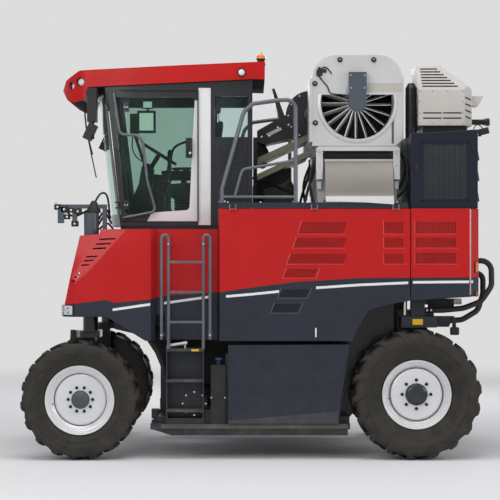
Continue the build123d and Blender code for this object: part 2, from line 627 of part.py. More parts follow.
# Deck: edge beams, chequer plate each side and cross members, with slots for the elevators.
def deck():
    edge = block(COVER_X0, 1403, -SIDE_Y, -SIDE_Y + 40, DECK_Z0, DECK_Z1)
    plate = block(COVER_X0, 1403, -SIDE_Y + 40, -300, DECK_PLATE_Z0, DECK_PLATE_Z1)
    ribs = [block(x, x + 30, -SIDE_Y + 40, -300, DECK_Z0, DECK_PLATE_Z0) for x in (COVER_X0, 620, 1373)]
    inner = block(CAB_X1 + 6, 1403, -330, -300, DECK_Z0, DECK_PLATE_Z1)
    half = solid_sum([edge, plate, *ribs, inner])
    half = half - block(1180, 1370, -ELEVATOR_Y1 - 10, -ELEVATOR_Y0 + 10, 2300, 2500)
    half = half - block(-500, CAB_X1 + 6, -CAB_Y - 6, 0, 2300, 2500)
    for x in HINGE_XS:
        half = half + cover_ear(x - 34) + cover_ear(x + 22) + rod(
            (x - 30, -SIDE_Y - HINGE_OUT, COVER_TOP - 6), (x + 30, -SIDE_Y - HINGE_OUT, COVER_TOP - 6),
            HINGE_PIN_R)
    cross = [block(x, x + 44, -310, 310, DECK_Z0, DECK_PLATE_Z1) for x in (CAB_X1 + 6, 1359)]
    return solid_sum([half, right(half), *cross])


def cover_ear(x):
    """Fixed half of a side cover's hinge: a leaf on the deck's edge that runs down to the pin."""
    y, z = -SIDE_Y - HINGE_OUT, COVER_TOP - 6
    leaf = block(x, x + 12, y - HINGE_R, -SIDE_Y, DECK_Z0 + 4, DECK_Z0 + 34)
    neck = block(x, x + 12, y - HINGE_R, y + HINGE_R, z, DECK_Z0 + 10)
    return leaf + neck + rod((x, y, z), (x + 12, y, z), HINGE_R)


def cover_barrel(x):
    """Moving half of a side cover's hinge."""
    y, z = -SIDE_Y - HINGE_OUT, COVER_TOP - 6
    barrel = rod((x - 21, y, z), (x + 21, y, z), HINGE_R) + block(x - 21, x + 21, y, -SIDE_Y, z - 16, z - 2)
    return barrel - rod((x - 25, y, z), (x + 25, y, z), HINGE_PIN_R + 0.08)


def railing():
    y = -1262
    foot = DECK_Z1 - 27
    hoop = pipe([(-352, y, DECK_Z1), (-352, y, 2559), (-147, y, 3287), (-60, y, 3365), (200, y, 3400),
                 (344, y, 3405), (344, y, DECK_Z1)], [200, 110, 60, 200, 90], 20)
    middle = pipe([(-232, y, 2484), (-160, y, 2745), (344, y, 2830)], [60], 14)
    low = rod((-352, y, 2484), (344, y, 2484), 14)
    return solid_sum([hoop, middle, low])


# Return conveyor behind the cab: belt trough, round head casing, posts and the tube that carries it.
def cross_conveyor():
    trough = plate_xz([(-16, 3180), (-16, 3070), (60, 3040), (522, 3140), (522, 3420), (250, 3330)],
                      -200, 200)
    head = rod((522, -200, 3332), (522, 200, 3332), 250)
    tube = rod((580, -FAN_Y0, 3332), (580, FAN_Y0, 3332), 40)
    posts = [block(-55, -15, y - 25, y + 25, DECK_PLATE_Z1, 3110) for y in (-225, 225)]
    flap = plate_xz([(200, 3300), (136, 3606), (160, 3606), (262, 3330)], -170, 170)
    return solid_sum([trough, head, tube, *posts, flap])


def transfer_chutes():
    pieces = []
    for drop, width in ((0, 440), (165, 560)):
        floor = [(-15, 2844 - drop), (490, 3080 - drop), (490, 3070 - drop), (-15, 2834 - drop)]
        wall = [(-15, 2834 - drop), (490, 3070 - drop), (490, 3130 - drop), (-15, 2894 - drop)]
        base = plate_xz(floor, -width, width)
        sides = [plate_xz(wall, s * width - 4, s * width + 4) for s in (-1, 1)]
        pieces.append(solid_sum([base, *sides]))
    return Compound(children=[p.solids()[0] for p in pieces])


# Cab: leaning plan outline extruded, hollow, with windows cut. The roof cap sits on top.
def cab_plan(inset, z):
    i = inset
    front = CAB_FRONT_SIDE_X + i
    mid = CAB_FRONT_MID_X + i
    y = CAB_Y - i
    edges = [
        Line((400, -y, z), (front, -y, z)),
        ThreePointArc((front, -y, z), (mid, 0, z), (front, y, z)),
        Line((front, y, z), (400, y, z)),
        Line((400, y, z), (400, -y, z)),
    ]
    return make_face(Wire(edges))


def cab_prism(inset, z0, z1):
    shift = (z0 - CAB_Z0) * CAB_LEAN
    face = Pos(shift, 0, 0) * cab_plan(inset, z0)
    body = extrude(face, amount=(z1 - z0) * math.hypot(1, CAB_LEAN), dir=(CAB_LEAN, 0, 1))
    return body & block(-2500, CAB_X1 - inset, -CAB_Y - 5, CAB_Y + 5, z0 - 10, z1 + 10)


def lean_x(x, z):
    """x on a line that leans with the cab's front, given where it is at the cab floor."""
    return x + (z - CAB_Z0) * CAB_LEAN


def roof_under():
    return plate_xz([(-2100, 3535), (-1470, 3575), (-63, 3643), (300, 3660), (300, 4200), (-2100, 4200)],
                    -900, 900)


def door_outline(grow):
    g = grow
    return [(lean_x(DOOR_X0, DOOR_Z0) - g, DOOR_Z0 - g), (DOOR_X1 + g, DOOR_Z0 - g),
            (DOOR_X1 + g, DOOR_Z1 + g), (lean_x(DOOR_X0, DOOR_Z1) - g, DOOR_Z1 + g)]


def cab_frame():
    shell = cab_prism(0, CAB_Z0, 3700) - cab_prism(CAB_WALL, CAB_Z0 + 45, 3690)
    shell = shell - roof_under()
    roof_sheet = (cab_prism(CAB_WALL, 3480, 3700) - roof_under()) - (
        Pos(0, 0, -24) * (cab_prism(CAB_WALL, 3400, 3700) - roof_under()))
    shell = shell + roof_sheet
    door = plate_xz(door_outline(DOOR_GAP), -800, -600)
    right_window = plate_xz([(lean_x(-1270, 2360), 2360), (-640, 2360), (-640, 3480),
                             (lean_x(-1270, 3480), 3480)], 600, 800)
    side_windows = block(-430, -110, -800, 800, 3083, 3480)
    rear_window = block(-200, 0, -600, 600, 2900, 3500)
    screen = block(-2000, -1200, -670, 670, 2330, 3500) & cab_prism(-20, 2330, 3500)
    for hole in (door, right_window, side_windows, rear_window, screen):
        shell = shell - hole
    for z in DOOR_HINGE_ZS:
        shell = shell + door_hinge(z, -34, -20, -1) + door_hinge(z, 20, 34, -1) + door_pin(z, HINGE_PIN_R, 30)
    return shell


def windscreen():
    glass = cab_prism(10, 2330, 3500) - cab_prism(10 + GLASS, 2300, 3530)
    return glass & block(-2000, -1400 + 90, -670, 670, 2330, 3500)


def cab_windows():
    side = plate_xz([(lean_x(-1270, 2360), 2360), (-640, 2360), (-640, 3480), (lean_x(-1270, 3480), 3480)],
                    CAB_Y - 30, CAB_Y - 30 + GLASS)
    rear = block(CAB_X1 - 30, CAB_X1 - 30 + GLASS, -600, 600, 2900, 3500)
    small = block(-430, -110, -CAB_Y + 24, -CAB_Y + 24 + GLASS, 3083, 3480)
    return Compound(children=[windscreen().solids()[0], side.solids()[0], rear, small,
                              right(small).solids()[0]])


def door_pieces():
    y0, y1 = -CAB_Y, -CAB_Y + 38
    whole = plate_xz(door_outline(0), y0, y1)
    window = [(lean_x(DOOR_X0 + 52, 2330), 2330), (DOOR_X1 - 80, 2372), (DOOR_X1 - 26, 3470),
              (lean_x(DOOR_X0 + 52, 3470), 3470)]
    hole = plate_xz(window, y0 - 5, y1 + 5, WINDOW_R)
    ring = whole - hole
    white_zone = plate_xz([(-1120, 2200), (-1010, 2420), (-720, 2420), (-720, 3440), (-500, 3440),
                           (-500, 2200)], y0 - 5, y1 + 5)
    glass = plate_xz(window, y0 + 14, y0 + 14 + GLASS, WINDOW_R)
    frame = ring - white_zone
    for z in DOOR_HINGE_ZS:
        frame = frame + door_hinge(z, -18, 18, 1)
    for z in DOOR_HINGE_ZS:
        frame = frame - door_pin(z, HINGE_PIN_R + 0.08, 24)
    return frame, ring & white_zone, glass


def door_axis(z):
    """Point on the door's hinge line at a height."""
    return Vector(lean_x(DOOR_X0, z) - DOOR_GAP / 2, -CAB_Y - HINGE_OUT, z)


def door_pin(z, radius, half):
    along = Vector(CAB_LEAN, 0, 1).normalized()
    return rod(tuple(door_axis(z) - along * half), tuple(door_axis(z) + along * half), radius)


def door_hinge(z, z0, z1, side):
    """Barrel and leaf on the hinge line, from z0 to z1 about a height. side is 1 for the door's half."""
    along = Vector(CAB_LEAN, 0, 1).normalized()
    barrel = rod(tuple(door_axis(z) + along * z0), tuple(door_axis(z) + along * z1), HINGE_R)
    x = lean_x(DOOR_X0, z) - DOOR_GAP / 2
    y = -CAB_Y - HINGE_OUT
    leaf = plate_xz([(x + CAB_LEAN * z0, z + z0), (x + side * 40 + CAB_LEAN * z0, z + z0),
                     (x + side * 40 + CAB_LEAN * z1, z + z1), (x + CAB_LEAN * z1, z + z1)], y, -CAB_Y)
    return barrel + leaf


def door_rail():
    y = -CAB_Y - 60
    path = [(-1410, -CAB_Y, 3500), (-1410, y, 3500), (-1352, y, 3104), (-1180, y, 3098), (-1129, y, 3030),
            (-1083, y, 2653), (-1000, y, 2355), (-1310, y, 2296), (-1310, -CAB_Y, 2296)]
    return pipe(path, [25, 60, 60, 50, 200, 45, 25], 14)


def white_pillars():
    plan = [(-588, -CAB_Y), (-588, -CAB_Y - 14), (-502, -CAB_Y - 14), (-470, -CAB_Y - 3), (-470, -CAB_Y)]
    return plate_xy(plan, 2226, 3560)


def roof_outline():
    return [(59, 3814), (56, 3640), (-63, 3643), (-1470, 3575), (-1660, 3566), (-1705, 3440),
            (-1800, 3418), (-1875, 3452), (-1925, 3545), (-1885, 3640), (-1745, 3728), (-769, 3778)]


def roof_solid():
    cap = plate_xz(roof_outline(), -790, 790)
    plan = make_face(Polyline([(-1940, -790, 3300), (60, -790, 3300), (60, 790, 3300), (-1940, 790, 3300)],
                              close=True))
    corners = plan.vertices().sort_by(Axis.X)
    plan = fillet(corners[:2], 330)
    return cap & extrude(plan, amount=700, dir=(0, 0, 1))


def lamp_set():
    """Work lamps sunk in the roof: three round each front corner, one each side at the back."""
    left = [rod((-1880, -640, 3525), (-1800, -600, 3525), 38), rod((-1838, -715, 3582), (-1760, -650, 3582), 38),
            rod((-1745, -778, 3618), (-1700, -690, 3618), 44), rod((-169, -800, 3708), (-169, -740, 3708), 40)]
    return left


def cab_roof(lamps):
    roof = roof_solid()
    for lamp in lamps:
        roof = roof - lamp - right(lamp)
    return roof


def beacon():
    standing = (Align.CENTER, Align.CENTER, Align.MIN)
    base = Pos(20, -600, 3800) * Cylinder(38, 54, align=standing) - roof_solid()
    dome = Pos(20, -600, 3854) * Cylinder(48, 50, align=(Align.CENTER, Align.CENTER, Align.MIN))
    return base + dome


def mirrors():
    arm = pipe([(-1630, -700, 3590), (-1630, -700, 3505), (-1600, -930, 3505), (-1600, -930, 3050)],
               [40, 40], 14) - roof_solid()
    head = block(-1650, -1560, -1010, -850, 3215, 3540)
    wide = Pos(-1625, -930, 3120) * Rot(0, 25, 0) * Box(80, 170, 160)
    return solid_sum([arm, head, wide])


def seat():
    base = block(-860, -480, -220, 220, 2262, 2520)
    cushion = block(-960, -440, -260, 260, 2520, 2660)
    back = plate_xz([(-530, 2660), (-440, 2660), (-380, 3330), (-460, 3330)], -240, 240)
    head = plate_xz([(-450, 3340), (-380, 3340), (-370, 3480), (-430, 3480)], -130, 130)
    neck = block(-430, -400, -40, 40, 3325, 3345)
    return solid_sum([base, cushion, back, neck, head])


def console():
    pedestal = plate_xz([(-1280, 2262), (-1120, 2262), (-1060, 2800), (-1110, 2860), (-1180, 2830)], -90, 90)
    column = rod((-1090, 0, 2820), (-1006, 0, 2956), 24)
    wheel = Pos(-1006, 0, 2956) * Rot(0, 32, 0) * Torus(190, 14)
    spoke = Pos(-1006, 0, 2956) * Rot(0, 32, 0) * Box(30, 380, 12)
    arm = rod((-1120, 200, 2700), (-1250, -150, 3160), 16)
    joiner = rod((-1120, 0, 2700), (-1120, 210, 2700), 20)
    screen = block(-1290, -1205, -190, -130, 3151, 3350)
    armrest = block(-1000, -560, 300, 380, 2700, 2800)
    stand = block(-800, -740, 310, 370, 2262, 2700)
    return Compound(children=[s for p in (solid_sum([pedestal, column, wheel, spoke, arm, joiner, screen]),
                                          armrest + stand) for s in p.solids()])


def sensor_unit():
    pot = rod((-1608, -1000, 2100), (-1608, -1000, 2338), 72) - hood_solid(0)
    post = block(-1500, -1460, -1030, -970, 2160, 2420) - hood_solid(0)
    arm = block(-1930, -1460, -1020, -980, 2380, 2420)
    drop = block(-1930, -1870, -1030, -970, 2240, 2400)
    second = block(-1790, -1745, -1025, -975, 2230, 2400)
    frame = solid_sum([post, arm, drop, second])
    return Compound(children=[frame.solids()[0], pot.solids()[0]])


def ladder():
    y = -1315
    pieces = []
    for outer, inner in ((-921, -855), (-464, -527)):
        hoop = pipe([(outer, y, 1140), (outer, y, 2124), (inner, y, 2124), (inner, y, 1050)], [32, 32], 15)
        pieces.append(hoop)
        pieces.append(rod((inner, y, 2040), (inner, -BAY_Y, 2040), 13))
        pieces.append(rod((outer, y, 1180), (outer, -BAY_Y, 1180), 13))
    for z in (1870, 1587, 1305):
        pieces.append(block(-855, -527, y - 13, y + 13, z - 11, z + 11))
    return solid_sum(pieces)


def step_box():
    sides = [block(x, x + 14, -SIDE_Y, -1120, 380, 1046) for x in (STEP_X0, STEP_X1 - 14)]
    back = block(STEP_X0, STEP_X1, -1134, -1120, 380, 1046)
    treads = [block(STEP_X0, STEP_X1, -SIDE_Y, -1120, z, z + 18) for z in (1028, 738, 455)]
    foot = block(STEP_X0, STEP_X1, -1240, -1120, SILL_Z1, 394)
    return solid_sum([*sides, back, *treads, foot])


def side_tank():
    tank = block(-458, -318, -1245, -1060, SILL_Z1, 895)
    cap = rod((-384, -1180, 895), (-384, -1180, 940), 32)
    return tank + cap


def lower_cover():
    outline = [(-295, 1086), (857, 1092), (775, 566), (752, SILL_Z1), (-295, SILL_Z1)]
    inner = [(-279, 1070), (838, 1076), (760, 566), (738, SILL_Z1 - 5), (-279, SILL_Z1 - 5)]
    return plate_xz(outline, -HOOD_Y, -HOOD_Y + 130) - plate_xz(inner, -HOOD_Y + PANEL, -HOOD_Y + 135)


def hoses():
    tyre_top = 2 * REAR_TYRE_R
    runs = (
        # y, (x, height over the tyre) points, bend radii
        (-1010, ((1580, 176), (1760, 176), (1960, 195), (2130, 260), (2230, 410), (2225, 650), (REAR_X1, 650)),
         (300, 250, 150, 120, 100)),
        (-900, ((1690, 70), (1800, 70), (1960, 80), (2110, 170), (2160, 330), (2160, 530), (REAR_X1, 530)),
         (300, 120, 100, 120, 70)),
    )
    first, second = (pipe([(x, y, tyre_top + up) for x, up in points], list(bends), HOSE_R)
                     for y, points, bends in runs)
    return Compound(children=[first.solids()[0], second.solids()[0]])


def engine_well(z0, z1):
    """Opening round the engine in the floors it stands through."""
    x0, x1, y0, y1 = ENGINE
    return block(x0 - 6, x1 + 6, y0 - 6, y1 + 6, z0, z1)


def engine_block():
    return block(*ENGINE, BEAM_Z1 + 10, 2880) + block(1560, 1640, -300, 300, BEAM_Z1, BEAM_Z1 + 12)


def screens():
    x0, x1, z0, z1 = SCREEN
    return block(x0, x1, -TOWER_Y + 2, -TOWER_Y + 12, z0, z1)


def flaps():
    pieces = []
    for number in range(3):
        z = 2450 + number * 196
        pieces.append(plate_xz([(TOWER_X1 - 26, z), (TOWER_X1 + 28, z), (TOWER_X1 - 2, z + 190),
                                (TOWER_X1 - 26, z + 190)], -1120, 1120))
    return Compound(children=[p.solids()[0] for p in pieces])


def main():
    os.makedirs(OUT, exist_ok=True)
    wheels = {
        "front": (tyre(FRONT_AXLE_X, FRONT_TYRE_R, FRONT_TYRE_W, FRONT_WHEEL_Y),
                  rim(FRONT_AXLE_X, FRONT_TYRE_R, FRONT_WHEEL_Y, 30, 200, 85)),
        "rear": (tyre(REAR_AXLE_X, REAR_TYRE_R, REAR_TYRE_W, REAR_WHEEL_Y),
                 rim(REAR_AXLE_X, REAR_TYRE_R, REAR_WHEEL_Y, 75, 225, 106)),
    }
    for end, (rubber, metal) in wheels.items():
        for hand, place in (("left", lambda s: s), ("right", right)):
            write(f"tyre_{end}_{hand}", place(rubber))
            write(f"rim_{end}_{hand}", place(metal))
    knuckle = front_knuckle()
    write("knuckle_left", knuckle)
    write("knuckle_right", right(knuckle))
    write("rear_legs", both(rear_leg()))
    write("main_frame", main_frame())
    write("kingpin_sockets", both(kingpin_socket()))
    write("lower_frames", both(lower_frame()))
    write("tow_brackets", both(tow_bracket()))
    write("catch_plates", both(catch_plates()))
    write("picking_head", both(picking_head()))
    write("elevators", both(elevator()))
    red = above_line()
    hood = hood_shell()
    write("front_hoods", both(hood & red))
    write("front_skirts", both(hood - red))
    cover = cover_shell() - [slot for row in COVER_LOUVRES + LOWER_LOUVRES for slot in louvre_cut(*row)]
    for x in HINGE_XS:
        cover = cover + cover_barrel(x)
    upper, lower = cover & red, cover - red
    write("cover_upper_left", upper)
    write("cover_lower_left", lower)
    write("cover_upper_right", right(upper))
    write("cover_lower_right", right(lower))
    rear_slots = [slot for row in REAR_LOUVRES for slot in louvre_cut(*row)]
    rear = rear_shell() - rear_slots - [right(slot) for slot in rear_slots]
    write("rear_body", rear & red)
    write("rear_skirts", rear - red)
    write("engine_housing", engine_housing())
    write("engine_vents", Compound(children=[*both(screens()).solids(), *flaps().solids()]))
    write("engine_block", engine_block())
    write("exhaust_cover", exhaust_cover())
    write("engine_pipes", engine_pipes())
    write("fan_housings", both(fan_housing()))
    rotor = fan_rotor()
    write("fan_rotor_left", rotor)
    write("fan_rotor_right", right(rotor))
    write("fan_mounts", both(fan_mount()))
    write("sorter_frames", both(sorter_frame()))
    write("brush_rollers", both(brush_roller()))
    write("drop_chutes", both(chute()))
    write("deck", deck())
    write("railings", both(railing()))
    write("return_conveyor", cross_conveyor())
    write("transfer_chutes", transfer_chutes())
    write("cab_frame", cab_frame())
    write("cab_windows", cab_windows())
    frame, panel, glass = door_pieces()
    write("door_frame", frame)
    write("door_panel", panel)
    write("door_glass", glass)
    write("door_rail", door_rail())
    write("white_pillars", both(white_pillars()))
    lamps = lamp_set()
    write("cab_roof", cab_roof(lamps))
    pairs = both(Compound(children=[s.solids()[0] for s in lamps]))
    write("lamps", Compound(children=[*pairs.solids(), beacon().solids()[0]]))
    write("mirrors", both(mirrors()))
    write("driver_seat", seat())
    write("steering_console", console())
    write("sensor_unit", sensor_unit())
    write("ladder", ladder())
    write("step_box", step_box())
    write("side_tank", side_tank())
    write("lower_covers", both(lower_cover()))
    write("hoses", hoses())


main()
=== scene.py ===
import json
import math

import bmesh
import bpy
from mathutils import Matrix, Vector

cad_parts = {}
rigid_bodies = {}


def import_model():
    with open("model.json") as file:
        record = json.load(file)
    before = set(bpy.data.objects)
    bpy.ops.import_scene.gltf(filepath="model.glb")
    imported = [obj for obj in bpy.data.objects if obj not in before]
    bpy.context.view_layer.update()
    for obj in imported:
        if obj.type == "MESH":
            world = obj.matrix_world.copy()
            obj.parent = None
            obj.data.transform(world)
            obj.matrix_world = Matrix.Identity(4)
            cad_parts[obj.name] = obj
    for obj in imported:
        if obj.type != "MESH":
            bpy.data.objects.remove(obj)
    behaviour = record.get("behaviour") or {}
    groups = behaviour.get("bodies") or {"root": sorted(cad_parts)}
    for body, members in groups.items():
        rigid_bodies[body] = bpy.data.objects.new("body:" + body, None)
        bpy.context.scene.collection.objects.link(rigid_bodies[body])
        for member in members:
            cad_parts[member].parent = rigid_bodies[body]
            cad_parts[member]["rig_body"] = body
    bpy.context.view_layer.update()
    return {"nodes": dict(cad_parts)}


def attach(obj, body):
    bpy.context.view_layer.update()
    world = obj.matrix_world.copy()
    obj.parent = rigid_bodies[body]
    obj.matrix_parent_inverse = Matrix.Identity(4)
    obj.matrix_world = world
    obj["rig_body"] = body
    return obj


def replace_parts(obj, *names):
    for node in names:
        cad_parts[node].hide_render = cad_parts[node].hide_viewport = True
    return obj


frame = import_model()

# The camera stands level on the machine's left, 18 m from its middle, with a long lens. The machine has
# no free cord: its hoses and wires are held at both ends.
PHOTO_PIXELS = 500
FOCAL_PIXELS = 1808.5
SENSOR_MM = 36.0
camera_data = bpy.data.cameras.new("photo_camera")
camera_data.sensor_width = SENSOR_MM
camera_data.lens = FOCAL_PIXELS / PHOTO_PIXELS * SENSOR_MM
camera_data.clip_end = 200
camera = bpy.data.objects.new("photo_camera", camera_data)
camera.location = (-0.087, -18.35, 1.983)
camera.rotation_euler = (math.radians(90), 0, 0)
bpy.context.scene.collection.objects.link(camera)
bpy.context.scene.camera = camera

# The studio: a pale floor that runs into a pale wall with no line between them, and soft boxes over the
# machine, beside the camera, towards its rear and behind it, where one rims the glass and the roof.
scene = bpy.context.scene
scene.view_settings.view_transform = "Standard"
WALL_GREY = (0.72, 0.72, 0.725)
FLOOR_GREY = (0.8, 0.8, 0.81)
FLOOR_RADIUS = 60
BLEND_NEAR, BLEND_FAR = 5.0, 14.0
AIR_TINT, AIR_STRENGTH = (0.95, 0.97, 1.0), 0.45


def new_material(name, slot=""):
    """An empty material for a slot of the record, and its node tree's parts."""
    made = bpy.data.materials.new(name)
    made["slot"] = slot
    made.use_nodes = True
    made.node_tree.nodes.clear()
    return made, made.node_tree.nodes, made.node_tree.links


def add_node(nodes, kind, inputs=None, **settings):
    """A new shader node, with its settings and the values of its inputs."""
    made = nodes.new("ShaderNode" + kind)
    for name, value in settings.items():
        setattr(made, name, value)
    for name, value in (inputs or {}).items():
        made.inputs[name].default_value = value
    return made


def wire(links, *routes):
    """Joins nodes: each route is a node, its output, the next node and its input."""
    for source, outlet, target, inlet in routes:
        links.new(source.outputs[outlet], target.inputs[inlet])


world = bpy.data.worlds.new("studio_air")
scene.world = world
world.use_nodes = True
air = world.node_tree.nodes
air.clear()
seen = add_node(air, "Background", {"Color": (*WALL_GREY, 1)})
lighting = add_node(air, "Background", {"Color": (*AIR_TINT, 1), "Strength": AIR_STRENGTH})
rays = add_node(air, "LightPath")
camera_or_glossy = add_node(air, "Math", operation="MAXIMUM")
direct = add_node(air, "Math", operation="MAXIMUM")
world_mix = add_node(air, "MixShader")
world_out = add_node(air, "OutputWorld")
wire(world.node_tree.links,
     (rays, "Is Camera Ray", camera_or_glossy, 0), (rays, "Is Glossy Ray", camera_or_glossy, 1),
     (camera_or_glossy, 0, direct, 0), (rays, "Is Transmission Ray", direct, 1),
     (direct, 0, world_mix, "Fac"), (lighting, 0, world_mix, 1), (seen, 0, world_mix, 2),
     (world_mix, 0, world_out, "Surface"))

floor_paint, floor_nodes, floor_links = new_material("studio_floor")
floor_place = add_node(floor_nodes, "TexCoord")
floor_distance = add_node(floor_nodes, "VectorMath", operation="LENGTH")
floor_fade = add_node(floor_nodes, "MapRange", {"From Min": BLEND_NEAR, "From Max": BLEND_FAR},
                      interpolation_type="SMOOTHSTEP")
floor_lit = add_node(floor_nodes, "BsdfDiffuse", {"Color": (*FLOOR_GREY, 1)})
floor_far = add_node(floor_nodes, "Emission", {"Color": (*WALL_GREY, 1)})
floor_mix = add_node(floor_nodes, "MixShader")
floor_out = add_node(floor_nodes, "OutputMaterial")
wire(floor_links,
     (floor_place, "Object", floor_distance, 0), (floor_distance, "Value", floor_fade, "Value"),
     (floor_fade, "Result", floor_mix, "Fac"), (floor_lit, 0, floor_mix, 1), (floor_far, 0, floor_mix, 2),
     (floor_mix, 0, floor_out, "Surface"))
floor_mesh = bmesh.new()
bmesh.ops.create_circle(floor_mesh, cap_ends=True, segments=64, radius=FLOOR_RADIUS)
floor_data = bpy.data.meshes.new("studio_floor")
floor_mesh.to_mesh(floor_data)
floor_mesh.free()
floor_data.materials.append(floor_paint)
floor = bpy.data.objects.new("studio_floor", floor_data)
scene.collection.objects.link(floor)

SOFT_BOXES = (
    # name, place, aimed at, width, height, watts
    ("over", (-0.5, -3.0, 8.5), (0, 0, 1.5), 7.0, 5.0, 300),
    ("camera_side", (-4.5, -9.5, 5.5), (0, 0, 1.8), 6.0, 4.0, 270),
    ("right_side", (8.0, -6.0, 4.0), (0.5, 0, 1.8), 4.0, 4.0, 170),
    ("behind", (1.0, 8.0, 5.0), (0, 0, 2.5), 8.0, 3.0, 260),
)
for name, place, target, width, height, watts in SOFT_BOXES:
    light_data = bpy.data.lights.new("soft_box_" + name, "AREA")
    light_data.shape = "RECTANGLE"
    light_data.size = width
    light_data.size_y = height
    light_data.energy = watts
    light = bpy.data.objects.new("soft_box_" + name, light_data)
    light.location = place
    light.rotation_euler = (Vector(target) - Vector(place)).to_track_quat("-Z", "Y").to_euler()
    scene.collection.objects.link(light)

# The portal frame and the wheel legs: welded box steel, sprayed in a satin grey-blue that has taken on a
# little dust low down. Every painted part shares one group for its uneven sheen, dust and fine grain.


def surface_group():
    """Node group: a base colour made uneven and dusty towards the ground, its roughness and a fine grain."""
    group = bpy.data.node_groups.new("worked_surface", "ShaderNodeTree")
    face, nodes, links = group.interface, group.nodes, group.links
    for socket in ("Base", "Dust Colour"):
        face.new_socket(socket, in_out="INPUT", socket_type="NodeSocketColor")
    for socket, value in (("Unevenness", 0.08), ("Dust", 0.2), ("Dust Height", 1.2), ("Roughness", 0.4),
                          ("Grain Scale", 300.0)):
        face.new_socket(socket, in_out="INPUT", socket_type="NodeSocketFloat").default_value = value
    for socket, kind in (("Colour", "Color"), ("Roughness", "Float"), ("Grain", "Float")):
        face.new_socket(socket, in_out="OUTPUT", socket_type="NodeSocket" + kind)
    given, result = nodes.new("NodeGroupInput"), nodes.new("NodeGroupOutput")
    place = add_node(nodes, "TexCoord")
    patches = add_node(nodes, "TexNoise", {"Scale": 2.3, "Detail": 5})
    fine = add_node(nodes, "TexNoise", {"Detail": 2})
    streaks = add_node(nodes, "TexNoise", {"Scale": 9, "Detail": 6})
    centred = add_node(nodes, "MapRange", {"From Min": 0.3, "From Max": 0.7, "To Min": -1, "To Max": 1})
    swing = add_node(nodes, "Math", {2: 1}, operation="MULTIPLY_ADD")
    shade = add_node(nodes, "VectorMath", operation="SCALE")
    split = add_node(nodes, "SeparateXYZ")
    low = add_node(nodes, "MapRange", {"From Min": 0, "To Min": 1, "To Max": 0.12})
    settled = add_node(nodes, "MapRange", {"From Min": 0.35, "From Max": 0.75})
    amount = add_node(nodes, "Math", operation="MULTIPLY")
    dusty = add_node(nodes, "Math", operation="MULTIPLY", use_clamp=True)
    colour = add_node(nodes, "Mix", data_type="RGBA")
    rough = add_node(nodes, "Math", {1: 0.1}, operation="MULTIPLY_ADD")
    rougher = add_node(nodes, "Math", {1: 0.5}, operation="MULTIPLY_ADD", use_clamp=True)
    for noise in (patches, fine, streaks):
        wire(links, (place, "Object", noise, "Vector"))
    wire(links,
         (given, "Grain Scale", fine, "Scale"), (patches, "Fac", centred, "Value"),
         (centred, "Result", swing, 0), (given, "Unevenness", swing, 1),
         (given, "Base", shade, 0), (swing, 0, shade, "Scale"),
         (place, "Object", split, 0), (split, "Z", low, "Value"), (given, "Dust Height", low, "From Max"),
         (streaks, "Fac", settled, "Value"), (low, "Result", amount, 0), (settled, "Result", amount, 1),
         (amount, 0, dusty, 0), (given, "Dust", dusty, 1),
         (dusty, 0, colour, "Factor"), (shade, 0, colour, "A"), (given, "Dust Colour", colour, "B"),
         (centred, "Result", rough, 0), (given, "Roughness", rough, 2),
         (dusty, 0, rougher, 0), (rough, 0, rougher, 2),
         (colour, "Result", result, "Colour"), (rougher, 0, result, "Roughness"),
         (fine, "Fac", result, "Grain"))
    return group


worked_surface = surface_group()
DUST = (0.2, 0.17, 0.13)


def finish(name, slot, colour, roughness=0.4, metallic=0.0, coat=0.0, dust=0.15, dust_height=1.2,
           uneven=0.06, grain=300.0, ripple=0.0002, shine=0.3):
    """A material for one finish, under its slot in the record: the surface group feeds a shader."""
    made, nodes, links = new_material(name, slot)
    life = add_node(nodes, "Group", {
        "Base": (*colour, 1), "Dust Colour": (*DUST, 1), "Unevenness": uneven, "Dust": dust,
        "Dust Height": dust_height, "Roughness": roughness, "Grain Scale": grain,
    }, node_tree=worked_surface)
    shader = add_node(nodes, "BsdfPrincipled", {
        "Metallic": metallic, "Coat Weight": coat, "Coat Roughness": 0.06, "Specular IOR Level": shine,
    })
    bump = add_node(nodes, "Bump", {"Strength": 0.5, "Distance": ripple})
    out = add_node(nodes, "OutputMaterial")
    wire(links, (life, "Colour", shader, "Base Color"), (life, "Roughness", shader, "Roughness"),
         (life, "Grain", bump, "Height"), (bump, "Normal", shader, "Normal"), (shader, 0, out, "Surface"))
    return made


def dress(material, *nodes):
    """Gives CAD nodes a finish."""
    for node in nodes:
        data = frame["nodes"][node].data
        data.materials.clear()
        data.materials.append(material)


def show(name, body, data, smooth=30):
    """Hangs a finished mesh on a CAD body, with even shading across its bends."""
    data.shade_smooth()
    data.set_sharp_from_angle(angle=math.radians(smooth))
    made = bpy.data.objects.new(name, data)
    scene.collection.objects.link(made)
    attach(made, body)
    even = made.modifiers.new("even_normals", "WEIGHTED_NORMAL")
    even.keep_sharp = True
    return made


def softened(material, *nodes, width=0.003, segments=2):
    """Shows CAD nodes with rounded edges: each is copied, its triangles joined and its corners bevelled."""
    for node in nodes:
        source = frame["nodes"][node]
        copy = bmesh.new()
        copy.from_mesh(source.data)
        bmesh.ops.remove_doubles(copy, verts=copy.verts, dist=1e-5)
        bmesh.ops.dissolve_limit(copy, angle_limit=math.radians(1), verts=copy.verts, edges=copy.edges)
        corners = [edge for edge in copy.edges
                   if len(edge.link_faces) == 2 and edge.calc_face_angle() > math.radians(32)]
        bmesh.ops.bevel(copy, geom=corners, offset=width, segments=segments, profile=0.5, affect="EDGES",
                        clamp_overlap=True, material=-1)
        data = bpy.data.meshes.new(node + "_shaped")
        copy.to_mesh(data)
        copy.free()
        data.materials.append(material)
        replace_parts(show(node + "_shaped", source["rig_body"], data), node)


